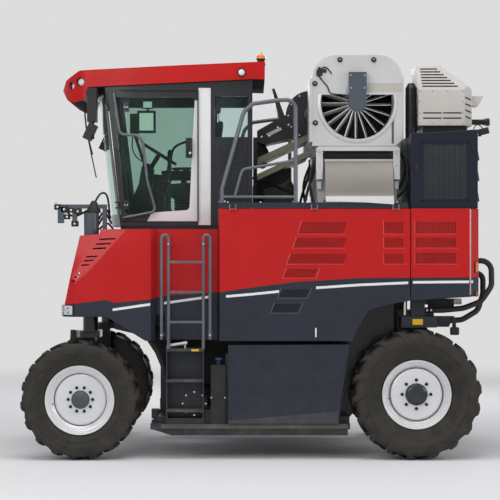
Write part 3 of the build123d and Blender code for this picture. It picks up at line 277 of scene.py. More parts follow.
frame_paint = finish("frame_grey", "grey_paint", (0.017, 0.021, 0.029), roughness=0.38, dust=0.28,
                     dust_height=0.9)
post_black = finish("post_black", "black_paint", (0.009, 0.009, 0.01), roughness=0.22, coat=0.3, dust=0.06)
softened(frame_paint, "main_frame", "lower_frames", "tow_brackets", "rear_legs", "step_box")
softened(post_black, "kingpin_sockets", "knuckle_left", "knuckle_right")

# Sleeves on the front posts: black enamelled steel tube with a rubber collar, and a rubber wiper where each
# post goes into its socket. Chromed lift rods stand beside the rear posts.
ORIGIN = (0, 0, 0)
OUTWARD = (0, -1, 0)


def with_slot(part, slot):
    """Marks a part's faces with the number of its material."""
    for face in part.faces:
        face.material_index = slot
    return part


def spun(profile, centre, axis, steps=48, closed=True, slot=0):
    """A profile of (radius, along) points turned once about an axis."""
    part = bmesh.new()
    verts = [part.verts.new((radius, 0, along)) for radius, along in profile]
    edges = [part.edges.new(pair) for pair in zip(verts, verts[1:])]
    if closed:
        edges.append(part.edges.new((verts[-1], verts[0])))
    bmesh.ops.spin(part, geom=verts + edges, cent=(0, 0, 0), axis=(0, 0, 1), angle=math.tau, steps=steps,
                   use_merge=True)
    bmesh.ops.remove_doubles(part, verts=part.verts, dist=1e-6)
    place = Matrix.Translation(centre) @ Vector(axis).to_track_quat("Z", "Y").to_matrix().to_4x4()
    bmesh.ops.transform(part, matrix=place, verts=part.verts)
    return with_slot(part, slot)


def rod(start, end, radius, sides=20, round=0, slot=0):
    """Round bar between two points."""
    part = bmesh.new()
    start, end = Vector(start), Vector(end)
    turn = (end - start).to_track_quat("Z", "Y").to_matrix().to_4x4()
    bmesh.ops.create_cone(part, cap_ends=True, segments=sides, radius1=radius, radius2=radius,
                          depth=(end - start).length, matrix=Matrix.Translation((start + end) / 2) @ turn)
    if round:
        rims = [edge for edge in part.edges if any(len(face.verts) > 4 for face in edge.link_faces)]
        bmesh.ops.bevel(part, geom=rims, offset=round, segments=2, profile=0.5, affect="EDGES", material=-1)
    return with_slot(part, slot)


def studs(places, y0, y1, radius, sides=6, round=0.001, slot=1):
    """Bolts, knobs and feet that stand out sideways between two y, at (x, z) places."""
    return [rod((x, y0, z), (x, y1, z), radius, sides, round, slot) for x, z in places]


def circle_of(count, radius, x, z, start=0):
    """Places spaced evenly round a circle, clockwise from its top."""
    angles = [math.tau * (number + start) / count for number in range(count)]
    return [(x + radius * math.sin(angle), z + radius * math.cos(angle)) for angle in angles]


def bar(low, high, round=0.003, segments=2, slot=0):
    """Box between two corners with rounded edges."""
    part = bmesh.new()
    bmesh.ops.create_cube(part, size=1)
    bmesh.ops.scale(part, vec=Vector(high) - Vector(low), verts=part.verts)
    bmesh.ops.translate(part, vec=(Vector(low) + Vector(high)) / 2, verts=part.verts)
    if round:
        bmesh.ops.bevel(part, geom=part.edges[:], offset=round, segments=segments, profile=0.5,
                        affect="EDGES", material=-1)
    return with_slot(part, slot)


def plate(outline, y0, y1, round=0, slot=0):
    """Side-view outline of (x, z) points made solid between two y."""
    part = bmesh.new()
    face = part.faces.new([part.verts.new((x, y0, z)) for x, z in outline])
    grown = bmesh.ops.extrude_face_region(part, geom=[face])["geom"]
    moved = [item for item in grown if isinstance(item, bmesh.types.BMVert)]
    bmesh.ops.translate(part, vec=(0, y1 - y0, 0), verts=moved)
    if round:
        bmesh.ops.bevel(part, geom=part.edges[:], offset=round, segments=2, profile=0.5, affect="EDGES",
                        material=-1)
    return with_slot(part, slot)


def turned(part, degrees, axis, about=ORIGIN):
    """Turns a part about an axis, X, Y or Z, through a point."""
    matrix = Matrix.Rotation(math.radians(degrees), 3, axis)
    bmesh.ops.rotate(part, cent=about, matrix=matrix, verts=part.verts)
    return part


def moved(part, way):
    """Shifts a part."""
    bmesh.ops.translate(part, vec=way, verts=part.verts)
    return part


def make_piece(name, body, parts, *materials, hands="left", smooth=30):
    """One object from several parts. hands is left as given, right for its mirror image, or both."""
    data = bpy.data.meshes.new(name)
    whole = bmesh.new()
    for part in parts:
        part.to_mesh(data)
        part.free()
        whole.from_mesh(data)
    if hands == "right":
        bmesh.ops.scale(whole, vec=(1, -1, 1), verts=whole.verts)
    if hands == "both":
        bmesh.ops.mirror(whole, geom=whole.verts[:] + whole.edges[:] + whole.faces[:], merge_dist=1e-7,
                         axis="Y")
    bmesh.ops.recalc_face_normals(whole, faces=whole.faces)
    whole.to_mesh(data)
    whole.free()
    for material in materials:
        data.materials.append(material)
    return show(name, body, data, smooth)


HANDS = ("left", "right")
chrome = finish("chrome", "steel", (0.55, 0.56, 0.57), roughness=0.1, metallic=1.0, dust=0.05, uneven=0.02)
black_rubber = finish("black_rubber", "rubber", (0.017, 0.017, 0.018), roughness=0.6, dust=0.25, grain=150,
                      ripple=0.0008)
KINGPIN = (-1.61, -1.07)
for hand in HANDS:
    sleeve = spun([(0.07, 0), (0.0715, 0), (0.0715, 0.15), (0.07, 0.15)], (*KINGPIN, 1.205), (0, 0, 1))
    collar = spun([(0.07, 0), (0.09, 0), (0.09, 0.006), (0.078, 0.012), (0.07, 0.012)],
                  (*KINGPIN, 1.193), (0, 0, 1), slot=1)
    make_piece(f"post_sleeve_{hand}", f"steering_leg_{hand}", [sleeve, collar], post_black, black_rubber,
               hands=hand)
socket_ring = spun([(0.0725, 0), (0.092, 0), (0.096, 0.008), (0.0725, 0.008)], (*KINGPIN, 1.366), (0, 0, 1))
make_piece("socket_wipers", "chassis", [socket_ring], black_rubber, hands="both")
lift_rod = rod((1.395, -1.04, 1.36), (1.395, -1.04, 1.52), 0.0228, round=0.002)
make_piece("rear_lift_rods", "chassis", [lift_rod], chrome, hands="both")

# Tyres: wide agricultural tyres in dusty brown-black rubber. The casing bulges out from the rim, with a
# few thin moulded rings. Eighteen bars a side sweep back from the middle and fold down the shoulder.
LUGS = 18
LUG_HIGH, LUG_SUNK = 0.036, 0.014
LUG_WIDE_MIDDLE, LUG_WIDE_EDGE = 0.05, 0.088
LUG_SWEEP = 0.115
FOLD_R, FOLD_TURN = 0.06, math.radians(84)
SIDE_RUN, CROWN_SETBACK = 0.042, 0.012
LUG_CUTS, LUG_ROUND = 11, 0.008
LUG_TOP_SHARE, LUG_END_LOWERED, SWEEP_POWER = 0.84, 0.62, 1.3
CASING = (
    # share of the way from the rim guard to the tread, share of the bulge
    (0.0, 0.0), (0.1, 0.24), (0.2, 0.46), (0.32, 0.68), (0.45, 0.86), (0.58, 0.96), (0.7, 1.0),
    (0.8, 0.97), (0.88, 0.88), (0.95, 0.72), (1.0, 0.5),
)
RING_HIGH, RING_SUNK, RING_HALF = 0.003, 0.004, 0.003
MOULDED_RINGS = (0.16, 0.27, 0.52)


def casing_side(tread_r, half):
    """Half of a tyre's profile, from the bead to the middle of the tread."""
    guard_r, guard_y = 0.352, 0.152
    points = [(0.307, 0.116), (0.32, 0.125), (0.334, 0.131), (0.342, 0.146), (0.347, guard_y),
              (guard_r, guard_y)]
    for share, bulge in CASING:
        points.append((guard_r + share * (tread_r - guard_r), guard_y + bulge * (half - guard_y)))
    points += [(tread_r + 0.002, half * 0.62), (tread_r + 0.004, half * 0.3), (tread_r + 0.005, 0)]
    return points


def chevron_bar(tread_r, half, hand):
    """A straight block swept round the tread and folded down over the shoulder, for one hand."""
    lug = bmesh.new()
    bmesh.ops.create_cube(lug, size=1)
    long_edges = [edge for edge in lug.edges if abs(edge.verts[0].co.y - edge.verts[1].co.y) > 0.5]
    bmesh.ops.subdivide_edges(lug, edges=long_edges, cuts=LUG_CUTS, use_grid_fill=True)
    crown_run = half - FOLD_R - CROWN_SETBACK
    fold_run = FOLD_R * FOLD_TURN
    whole_run = crown_run + fold_run + SIDE_RUN
    for vert in lug.verts:
        share = vert.co.y + 0.5
        run = share * whole_run
        wide = LUG_WIDE_MIDDLE + (LUG_WIDE_EDGE - LUG_WIDE_MIDDLE) * share
        narrow = 1 if vert.co.z < 0 else LUG_TOP_SHARE
        fold = min(FOLD_TURN, max(0, (run - crown_run) / FOLD_R))
        down = max(0, run - crown_run - fold_run)
        high = -LUG_SUNK if vert.co.z < 0 else LUG_HIGH * (1 - LUG_END_LOWERED * fold / FOLD_TURN)
        across = min(run, crown_run) + (FOLD_R + high) * math.sin(fold) + down * math.cos(fold)
        out = tread_r - FOLD_R + (FOLD_R + high) * math.cos(fold) - down * math.sin(fold)
        turn = (LUG_SWEEP * share ** SWEEP_POWER + vert.co.x * wide * narrow) / tread_r
        vert.co = (out * math.sin(turn), hand * across, out * math.cos(turn))
    lug.normal_update()
    sharp = [edge for edge in lug.edges if edge.calc_face_angle() > math.radians(50)]
    bmesh.ops.bevel(lug, geom=sharp, offset=LUG_ROUND, segments=2, profile=0.5, affect="EDGES",
                    clamp_overlap=True, material=-1)
    return lug


tyre_rubber = finish("tyre_rubber", "tyre", (0.026, 0.0235, 0.02), roughness=0.74, dust=0.16,
                     dust_height=1.6, uneven=0.22, grain=90, ripple=0.0012)
AXLES = (
    # end, x, tyre radius, tyre width, wheel centre y, disc face, nuts, nut circle, cap radius
    ("front", -1.695, 0.565, 0.38, 1.155, 0.044, 10, 0.116, 0.087),
    ("rear", 1.49, 0.615, 0.45, 1.12, 0.089, 8, 0.136, 0.106),
)
for end, axle_x, tyre_r, tyre_wide, wheel_y, disc, nuts, nut_circle, cap_r in AXLES:
    for hand in HANDS:
        tread_r, half = tyre_r - LUG_HIGH, tyre_wide / 2
        outer = casing_side(tread_r, half)
        inner = [(radius, -across) for radius, across in reversed(outer[:-1])]
        rings = []
        for share in MOULDED_RINGS:
            number = min(range(len(CASING)), key=lambda index: abs(CASING[index][0] - share)) + 6
            radius, across = outer[number]
            for face_side in (-1, 1):
                root, crest = face_side * (across - RING_SUNK), face_side * (across + RING_HIGH)
                rings.append(spun([(radius - 2 * RING_HALF, root), (radius - RING_HALF, crest),
                                   (radius + RING_HALF, crest), (radius + 2 * RING_HALF, root)],
                                  ORIGIN, OUTWARD, 96))
        parts = [spun(outer + inner, ORIGIN, OUTWARD, 96), *rings]
        for lug_hand in (-1, 1):
            for number in range(LUGS):
                lug = chevron_bar(tread_r, half, lug_hand)
                parts.append(turned(lug, (number + 0.25 * (lug_hand + 1)) * 360 / LUGS, "Y"))
        for part in parts:
            moved(part, (axle_x, -wheel_y, tyre_r))
        tyre = make_piece(f"{end}_{hand}_tyre", f"wheel_{end}_{hand}", parts, tyre_rubber, hands=hand,
                          smooth=40)
        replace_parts(tyre, f"tyre_{end}_{hand}")

# Wheels: pressed steel rims with a rolled edge and a stepped well, sprayed silver. The disc is bolted
# through dark nuts, round a cast hub cap; the front disc sits deep in the rim, the rear one nearly flush.
rim_silver = finish("rim_silver", "silver_paint", (0.73, 0.735, 0.745), roughness=0.28, metallic=0.12,
                    dust=0.05, dust_height=1.3, uneven=0.03)
rim_shadow = finish("rim_shadow", "black_paint", (0.05, 0.05, 0.052), roughness=0.6)
HUB_CAPS = {
    "front": finish("hub_cast", "cast_iron", (0.058, 0.078, 0.09), roughness=0.34, uneven=0.5, grain=45,
                    ripple=0.004),
    "rear": finish("hub_dark", "black_paint", (0.011, 0.02, 0.025), roughness=0.2, coat=0.4, uneven=0.2),
}
nut_dark = finish("nut_dark", "steel", (0.02, 0.021, 0.023), metallic=0.6)
BARREL = (
    (0.328, 0.13), (0.328, 0.139), (0.3255, 0.1418), (0.3215, 0.142), (0.317, 0.14), (0.313, 0.134),
    (0.308, 0.128), (0.301, 0.124), (0.2985, 0.118), (0.2985, 0.106), (0.295, 0.1), (0.281, 0.096),
    (0.277, 0.09), (0.275, 0.078), (0.262, 0.068), (0.2525, 0.06), (0.2525, -0.034), (0.295, -0.064),
    (0.295, -0.142), (0.328, -0.142), (0.328, -0.13), (0.3055, -0.13), (0.3055, -0.056), (0.263, -0.026),
    (0.263, 0.074), (0.3055, 0.104), (0.3055, 0.13),
)
for end, axle_x, tyre_r, tyre_wide, wheel_y, disc, nuts, nut_circle, cap_r in AXLES:
    for hand in HANDS:
        centre = (axle_x, -wheel_y, tyre_r)
        parts = [
            spun(BARREL, centre, OUTWARD, 96),
            spun([(0.064, disc), (0.222, disc), (0.234, disc - 0.004), (0.246, disc - 0.012),
                  (0.2525, disc - 0.03), (0.2525, disc - 0.042), (0.24, disc - 0.026),
                  (0.228, disc - 0.014), (0.064, disc - 0.014)], centre, OUTWARD, 96),
            spun([(0.246, disc - 0.008), (0.2526, disc - 0.008), (0.2526, disc - 0.014),
                  (0.246, disc - 0.014)], centre, OUTWARD, 64, slot=1),
            spun([(cap_r + 0.016, disc), (cap_r + 0.014, disc + 0.004), (cap_r, disc + 0.005),
                  (cap_r, disc)], centre, OUTWARD, 64),
            spun([(0, disc + 0.047), (cap_r * 0.45, disc + 0.0465), (cap_r * 0.72, disc + 0.043),
                  (cap_r * 0.88, disc + 0.036), (cap_r * 0.97, disc + 0.024), (cap_r, disc + 0.01),
                  (cap_r, disc), (0, disc)], centre, OUTWARD, closed=False, slot=2),
        ]
        face_y = -wheel_y - disc
        places = circle_of(nuts, nut_circle, axle_x, tyre_r, start=0.5 if end == "front" else 0)
        parts += studs(places, face_y + 0.001, face_y - 0.004, 0.0155, 16, round=0, slot=3)
        parts += studs(places, face_y, face_y - 0.018, 0.0125, round=0.0015, slot=3)
        parts += studs(places, face_y, face_y - 0.026, 0.0065, 10, round=0, slot=3)
        valve_x, valve_y, valve_z = axle_x - 0.262, -wheel_y - 0.066, tyre_r - 0.04
        parts.append(rod((valve_x, valve_y, valve_z), (valve_x + 0.012, valve_y - 0.038, valve_z), 0.005, 10,
                         slot=3))
        rim = make_piece(f"{end}_{hand}_rim", f"wheel_{end}_{hand}", parts, rim_silver, rim_shadow,
                         HUB_CAPS[end], nut_dark, hands=hand)
        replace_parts(rim, f"rim_{end}_{hand}")

# Hydraulic lines: a bundle of black hoses a side that leaves the hood behind the front wheel, over a moulded
# guard, and ends in crimped fittings on the side frame's hanger.


def lines(name, body, radius, material, routes, hands="left"):
    """Flexible lines or bent tubes: smooth curves through their points, with a round section."""
    curve = bpy.data.curves.new(name, "CURVE")
    curve.dimensions = "3D"
    curve.bevel_depth = radius
    curve.bevel_resolution = 3
    curve.use_fill_caps = True
    curve.materials.append(material)
    for side in {"left": (1,), "right": (-1,), "both": (1, -1)}[hands]:
        for route in routes:
            spline = curve.splines.new("NURBS")
            spline.points.add(len(route) - 1)
            for point, (x, y, z) in zip(spline.points, route):
                point.co = (x, side * y, z, 1)
            spline.order_u = 3
            spline.use_endpoint_u = True
            spline.resolution_u = 5
    made = bpy.data.objects.new(name, curve)
    scene.collection.objects.link(made)
    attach(made, body)
    return made


LEG_LINES = 5
leg_lines = []
for number in range(LEG_LINES):
    y = -1.0 + number * 0.04
    x, z = 0.02 * number, 0.022 * number
    leg_lines.append([(-1.33 + x, y, 1.3), (-1.27 + x, y, 1.215 + z), (-1.13 + x, y, 1.185 + z),
                      (-1.0 + x, y, 1.08 + z), (-0.93 + x * 0.7, y, 0.94 + z), (-0.905 + x * 0.5, y, 0.83),
                      (-0.885 + x * 0.5, y + 0.08, 0.78), (-0.88 + x * 0.5, -0.735, 0.785)])
lines("leg_lines", "chassis", 0.016, black_rubber, leg_lines, hands="both")
fittings = studs([(-0.88 + 0.01 * number, 0.785) for number in range(LEG_LINES)], -0.725, -0.77, 0.021,
                 round=0.002, slot=0)
make_piece("line_fittings", "chassis", fittings, nut_dark, hands="both")
guard_black = finish("guard_black", "black_plastic", (0.01, 0.01, 0.011), roughness=0.26, coat=0.2,
                     dust=0.08, grain=40, ripple=0.006)
front_guard = plate([(-1.4, 1.3), (-1.4, 1.215), (-1.12, 1.15), (-1.01, 0.985), (-0.945, 0.83),
                     (-0.85, 0.8), (-0.85, 1.3)], -0.792, -0.784, 0.002)
rear_guard = [
    plate([(0.7, 0.345), (0.86, 0.345), (1.3, 0.9), (1.3, 1.505), (1.02, 1.44), (0.905, 1.225),
           (0.77, 1.08)], -0.858, -0.85, 0.002),
    plate([(1.02, 1.452), (0.888, 1.206), (0.905, 1.196), (1.036, 1.44)], -1.255, -0.85, 0.002),
    plate([(0.855, 1.085), (0.77, 0.566), (0.748, 0.35), (0.766, 0.35), (0.788, 0.566), (0.873, 1.085)],
          -1.15, -0.85, 0.002),
]
make_piece("front_guards", "chassis", [front_guard], guard_black, hands="both")
make_piece("rear_guards", "chassis", rear_guard, guard_black, hands="both")

# Bodywork: pressed and moulded covers in deep glossy red over grey-blue, under clear lacquer. A narrow
# white band runs along the grey, and each louvre field has a dark red mesh behind its slots.
body_red = finish("body_red", "red_paint", (0.455, 0.007, 0.0075), roughness=0.24, coat=0.12, dust=0.03,
                  uneven=0.03, shine=0.2)
body_grey = finish("body_grey", "grey_paint", (0.018, 0.0225, 0.034), roughness=0.3, coat=0.1, dust=0.1,
                   shine=0.25)
sheet_steel = finish("sheet_steel", "steel", (0.5, 0.49, 0.45), roughness=0.32, metallic=0.5, dust=0.1,
                     uneven=0.12)
softened(body_red, "front_hoods", "rear_body", width=0.006, segments=3)
softened(body_grey, "front_skirts", "rear_skirts", width=0.006, segments=3)
softened(body_grey, "lower_covers", width=0.01, segments=3)
softened(body_red, "cover_upper_left", "cover_upper_right", width=0.0025)
softened(body_grey, "cover_lower_left", "cover_lower_right", width=0.0025)

band_white = finish("band_white", "white_paint", (0.74, 0.745, 0.75), roughness=0.32, coat=0.3, dust=0.05,
                    uneven=0.03)
BAND_DEEP, BAND_THICK = 0.024, 0.0012
SIDE_FACE_Y, HOOD_FACE_Y, BAY_FACE_Y = -1.29, -1.27, -1.11
FRONT_CORNER_TURN, REAR_CORNER_TURN = -36.4, 48.3
BANDS = (
    # name, body before its hand, panel face y, points along the top edge
    ("hood_band", "chassis", HOOD_FACE_Y, ((-1.385, 1.43), (-1.084, 1.474), (-1.03, 1.481))),
    ("rear_band", "chassis", SIDE_FACE_Y, ((1.449, 1.69), (1.98, 1.695))),
    ("cover_band_front", "side_cover_", SIDE_FACE_Y, ((-0.313, 1.557), (-0.087, 1.576), (0.187, 1.604))),
    ("cover_band_rear", "side_cover_", SIDE_FACE_Y, ((0.536, 1.638), (0.951, 1.666), (1.405, 1.686))),
)
for name, body, face_y, top in BANDS:
    outline = [*top, *[(x, z - BAND_DEEP) for x, z in reversed(top)]]
    if body == "chassis":
        band = plate(outline, face_y, face_y - BAND_THICK)
        make_piece(name, body, [band], band_white, hands="both")
    else:
        for hand in HANDS:
            band = plate(outline, face_y, face_y - BAND_THICK)
            make_piece(f"{name}_{hand}", body + hand, [band], band_white, hands=hand)
bay_band = plate([(-0.905, 1.488), (-0.474, 1.549), (-0.474, 1.525), (-0.905, 1.464)], BAY_FACE_Y, -1.112)
make_piece("bay_band", "chassis", [bay_band], band_white)
corner_band = plate([(0, 1.695), (0.045, 1.695), (0.045, 1.671), (0, 1.671)], 0, -BAND_THICK)
moved(turned(corner_band, REAR_CORNER_TURN, "Z"), (1.992, -1.2825, 0))
make_piece("corner_band", "chassis", [corner_band], band_white, hands="both")

louvre_back = finish("louvre_back", "red_paint", (0.36, 0.048, 0.036), roughness=0.6, uneven=0.2,
                     grain=400, ripple=0.002)
grille_back = finish("grille_back", "black_mesh", (0.01, 0.011, 0.013), roughness=0.6, uneven=0.2,
                     grain=400, ripple=0.002)
LOUVRES = (
    # body before its hand, x0, x1, z0, z1, slant, material
    ("side_cover_", 0.413, 0.837, 2.143, 2.247, 0.038, louvre_back),
    ("side_cover_", 0.366, 0.837, 2.011, 2.096, 0.038, louvre_back),
    ("side_cover_", 0.309, 0.837, 1.86, 1.945, 0.038, louvre_back),
    ("side_cover_", 1.186, 1.366, 2.143, 2.247, 0, louvre_back),
    ("side_cover_", 1.186, 1.366, 2.011, 2.096, 0, louvre_back),
    ("side_cover_", 1.186, 1.366, 1.86, 1.945, 0, louvre_back),
    ("side_cover_", 0.271, 0.56, 1.728, 1.804, 0.038, louvre_back),
    ("chassis", 1.479, 1.866, 2.143, 2.247, 0, louvre_back),
    ("chassis", 1.479, 1.866, 2.011, 2.096, 0, louvre_back),
    ("chassis", 1.479, 1.866, 1.86, 1.955, 0, louvre_back),
    ("side_cover_", 0.224, 0.48, 1.54, 1.61, 0.038, grille_back),
    ("side_cover_", 0.158, 0.4, 1.398, 1.474, 0.038, grille_back),
)
PANEL_BACK_Y, BEAD_Y = -1.274, -1.2895
BACK_OVERLAP, BEAD_OUT = 0.012, 0.014
LOWER_BEAD_R, SIDE_BEAD_R = 0.0024, 0.0028
SHORT_FIELD_Z = 1.82
# The thin beads round each field are paler than their panel: a painted highlight of light caught on the
# pressed rims.
louvre_rim_highlight = finish("louvre_rim_highlight", "red_paint", (0.5, 0.06, 0.055), roughness=0.22, coat=0.3, uneven=0.05)
grille_rim_highlight = finish("grille_rim_highlight", "grey_paint", (0.075, 0.088, 0.105), roughness=0.26, coat=0.2,
                     uneven=0.05)
for number, (body, x0, x1, z0, z1, slant, material) in enumerate(LOUVRES):
    out = BACK_OVERLAP
    outline = [(x0 - slant - out, z0 - out), (x1 - slant + out, z0 - out), (x1 + out, z1 + out),
               (x0 - out, z1 + out)]
    for hand in HANDS:
        mesh_back = plate(outline, PANEL_BACK_Y + 0.0004, PANEL_BACK_Y + 0.004)
        owner = body if body == "chassis" else body + hand
        make_piece(f"louvre_back_{number}_{hand}", owner, [mesh_back], material, hands=hand)
        low_x, high_x, low_z, high_z = x0 - slant - BEAD_OUT, x0 - BEAD_OUT, z0 - BEAD_OUT, z1 + BEAD_OUT
        across = x1 + BEAD_OUT - x0 + BEAD_OUT
        beads = [
            rod((low_x, BEAD_Y, low_z), (high_x, BEAD_Y, high_z), SIDE_BEAD_R, 8),
            rod((low_x, BEAD_Y, low_z), (low_x + across, BEAD_Y, low_z), LOWER_BEAD_R, 8),
        ]
        if slant and z1 < SHORT_FIELD_Z:
            beads.append(rod((low_x + across, BEAD_Y, low_z), (high_x + across, BEAD_Y, high_z),
                             SIDE_BEAD_R, 8))
        edge = louvre_rim_highlight if material == louvre_back else grille_rim_highlight
        make_piece(f"louvre_rim_highlight_{number}_{hand}", owner, beads, edge, hands=hand)

# Marker lenses on the rear corners: an amber one over a small red one, moulded in ribbed plastic. Each is
# clipped into a black surround on the corner of the bodywork.


def patterned(nodes, links, pattern, dark, light, relief, glaze):
    """Ends a material whose pattern, a node and its output, sets its shade, dark to light, and its relief."""
    shade = add_node(nodes, "Mix", {"A": (*dark, 1), "B": (*light, 1)}, data_type="RGBA")
    bump = add_node(nodes, "Bump", relief)
    shader = add_node(nodes, "BsdfPrincipled", glaze)
    out = add_node(nodes, "OutputMaterial")
    wire(links, (*pattern, shade, "Factor"), (*pattern, bump, "Height"),
         (shade, "Result", shader, "Base Color"), (bump, "Normal", shader, "Normal"),
         (shader, 0, out, "Surface"))


def lens_material(name, colour, roughness=0.12):
    """Moulded plastic lens: coloured, glossy and ribbed inside."""
    made, nodes, links = new_material(name, "lamp_plastic")
    place = add_node(nodes, "TexCoord")
    ribs = add_node(nodes, "TexWave", {"Scale": 60}, bands_direction="Z")
    wire(links, (place, "Object", ribs, "Vector"))
    patterned(nodes, links, (ribs, "Fac"), [part * 0.75 for part in colour], colour,
              {"Strength": 0.35, "Distance": 0.002},
              {"Roughness": roughness, "Coat Weight": 0.8, "Coat Roughness": 0.03})
    return made


black_plastic = finish("black_plastic", "black_plastic", (0.014, 0.014, 0.015), roughness=0.52, dust=0.12,
                       grain=420, ripple=0.0004)
amber_lens = lens_material("amber_lens", (0.62, 0.17, 0.01))
red_lens = lens_material("red_lens", (0.3, 0.006, 0.005))
markers = []
for z0, z1, slot in ((1.772, 1.868, 1), (1.548, 1.59, 2)):
    markers.append(bar((-0.024, -0.006, z0 - 0.006), (0.024, 0.01, z1 + 0.006)))
    markers.append(bar((-0.018, -0.013, z0), (0.018, 0, z1), 0.004, segments=3, slot=slot))
for part in markers:
    moved(turned(part, REAR_CORNER_TURN, "Z"), (2.056, -1.212, 0))
make_piece("corner_markers", "chassis", markers, black_plastic, amber_lens, red_lens, hands="both")

# Pull handle of a side cover: a slim white strap low on the panel, on two studs. A thin rod down the rear
# corner of the bodywork, in a pale pink gloss, is a painted highlight along the corner's rounded edge.
for hand in HANDS:
    pull = [bar((0.527, -1.2985, 1.16), (0.541, -1.294, 1.248), 0.002),
            *studs(((0.534, 1.172), (0.534, 1.236)), -1.289, -1.295, 0.005, 12, round=0, slot=0)]
    make_piece(f"cover_pull_{hand}", "side_cover_" + hand, pull, band_white, hands=hand)
# Painted highlight: the pale rod stands for the bright line of light on the rear corner.
corner_highlight_rod = rod((1.992, -1.285, 1.56), (1.992, -1.285, 2.368), 0.007, 16, round=0.002)
make_piece("corner_painted_highlights", "chassis", [corner_highlight_rod],
           finish("corner_painted_highlight", "red_paint", (0.52, 0.36, 0.36), roughness=0.15, metallic=0.3, coat=0.6,
                  dust=0.02),
           hands="both")

# Rear beams: short box steel arms in the frame's paint that reach back from each rear leg to a bright end
# bracket, where the machine is tied down or a trailer hose is hung.
rear_beam = [bar((1.64, -0.83, 1.405), (1.89, -0.77, 1.512), 0.006),
             bar((1.885, -0.825, 1.455), (1.965, -0.775, 1.512), 0.006, slot=1)]
make_piece("rear_beams", "chassis", rear_beam, frame_paint, sheet_steel, hands="both")

# Headlamps: square clear lenses in black housings, let into the corners of the front skirts, with five round
# reflectors behind each.
headlamp_glass = lens_material("headlamp_glass", (0.62, 0.64, 0.67), roughness=0.06)
headlamp = [bar((-0.076, -0.006, 1.362), (0.07, 0.02, 1.462), 0.006, segments=3),
            bar((-0.068, -0.012, 1.368), (0.062, 0, 1.456), 0.008, segments=3, slot=1)]
headlamp += studs(((-0.045, 1.44), (-0.04, 1.412), (-0.045, 1.384), (0.01, 1.43), (0.012, 1.394)),
                  -0.006, -0.0135, 0.009, 16, round=0.002, slot=0)
for part in headlamp:
    moved(turned(part, FRONT_CORNER_TURN, "Z"), (-1.812, -1.222, 0))
make_piece("headlamps", "chassis", headlamp, black_plastic, headlamp_glass, hands="both")

# Steps: pressed steel treads with raised grip bars and a folded nose, hooked into the step box, and a bright
# latch bar across the top one. They are dusty from boots.
tread_steel = finish("tread_steel", "steel_tube", (0.03, 0.034, 0.041), roughness=0.5, dust=0.7,
                     dust_height=1.6, grain=220, ripple=0.003)
STEP_TOPS, GRIP_ROWS, GRIP_Y, GRIP_PITCH = (1.046, 0.756, 0.473), 5, -1.278, 0.034
step_grip = []
for z in STEP_TOPS:
    for row in range(GRIP_ROWS):
        y = GRIP_Y + row * GRIP_PITCH
        step_grip.append(bar((-0.872, y, z - 0.001), (-0.528, y + 0.012, z + 0.006), 0.002, segments=1))
    step_grip.append(bar((-0.879, -1.2955, z - 0.02), (-0.521, -1.2885, z + 0.003), 0.0025))
make_piece("step_treads", "chassis", step_grip, tread_steel)
step_latch = [rod((-0.845, -1.25, 1.08), (-0.68, -1.25, 1.106), 0.017, 24, round=0.003),
              rod((-0.875, -1.25, 1.075), (-0.84, -1.25, 1.081), 0.008, 12),
              rod((-0.866, -1.255, 1.047), (-0.866, -1.255, 1.084), 0.01, 12),
              rod((-0.7, -1.25, 1.047), (-0.7, -1.25, 1.1), 0.009, 12)]
make_piece("step_latch", "chassis", step_latch, sheet_steel)

# Sill: black fillers close the gaps beside the tank, and mud has dried on the sill's outer face. A flat plate
# in a lighter grey at the foot of each lower cover is painted light on a fold facet there, and a round bolted
# plate covers the drive behind the steps.
sill_parts = [bar((-0.525, -1.19, 0.338), (-0.455, -1.11, 0.47)),
              bar((-0.32, -1.19, 0.338), (-0.29, -1.11, 1.0)),
              bar((-0.93, -1.2405, 0.292), (0.84, -1.235, 0.334), 0.001, slot=1)]
make_piece("sill_fillers", "chassis", sill_parts, guard_black,
           finish("sill_dusty", "grey_paint", (0.085, 0.076, 0.062), roughness=0.7, dust=0.5, uneven=0.25,
                  grain=120, ripple=0.003),
           hands="both")
# Painted light: the plate is flat, and only its lighter grey shows the fold's facet catching more light.
cover_fold_light = plate([(-0.294, 0.369), (0.737, 0.46), (0.751, 0.343), (-0.294, 0.343)], -1.2715, -1.2695)
make_piece("cover_fold_painted_light", "chassis", [cover_fold_light],
           finish("fold_painted_light", "grey_paint", (0.032, 0.038, 0.05), roughness=0.34, coat=0.1, dust=0.25,
                  uneven=0.08),
           hands="both")
COVER_X, COVER_Z = -0.617, 0.523
COVER_R, BOLT_CIRCLE, COVER_BOLTS = 0.128, 0.11, 8
cover_plate = [*studs([(COVER_X, COVER_Z)], -1.1335, -1.148, COVER_R, 48, round=0.003, slot=0),
               *studs(circle_of(COVER_BOLTS, BOLT_CIRCLE, COVER_X, COVER_Z), -1.1475, -1.1565, 0.0095)]
make_piece("inspection_cover", "chassis", cover_plate, frame_paint, chrome)

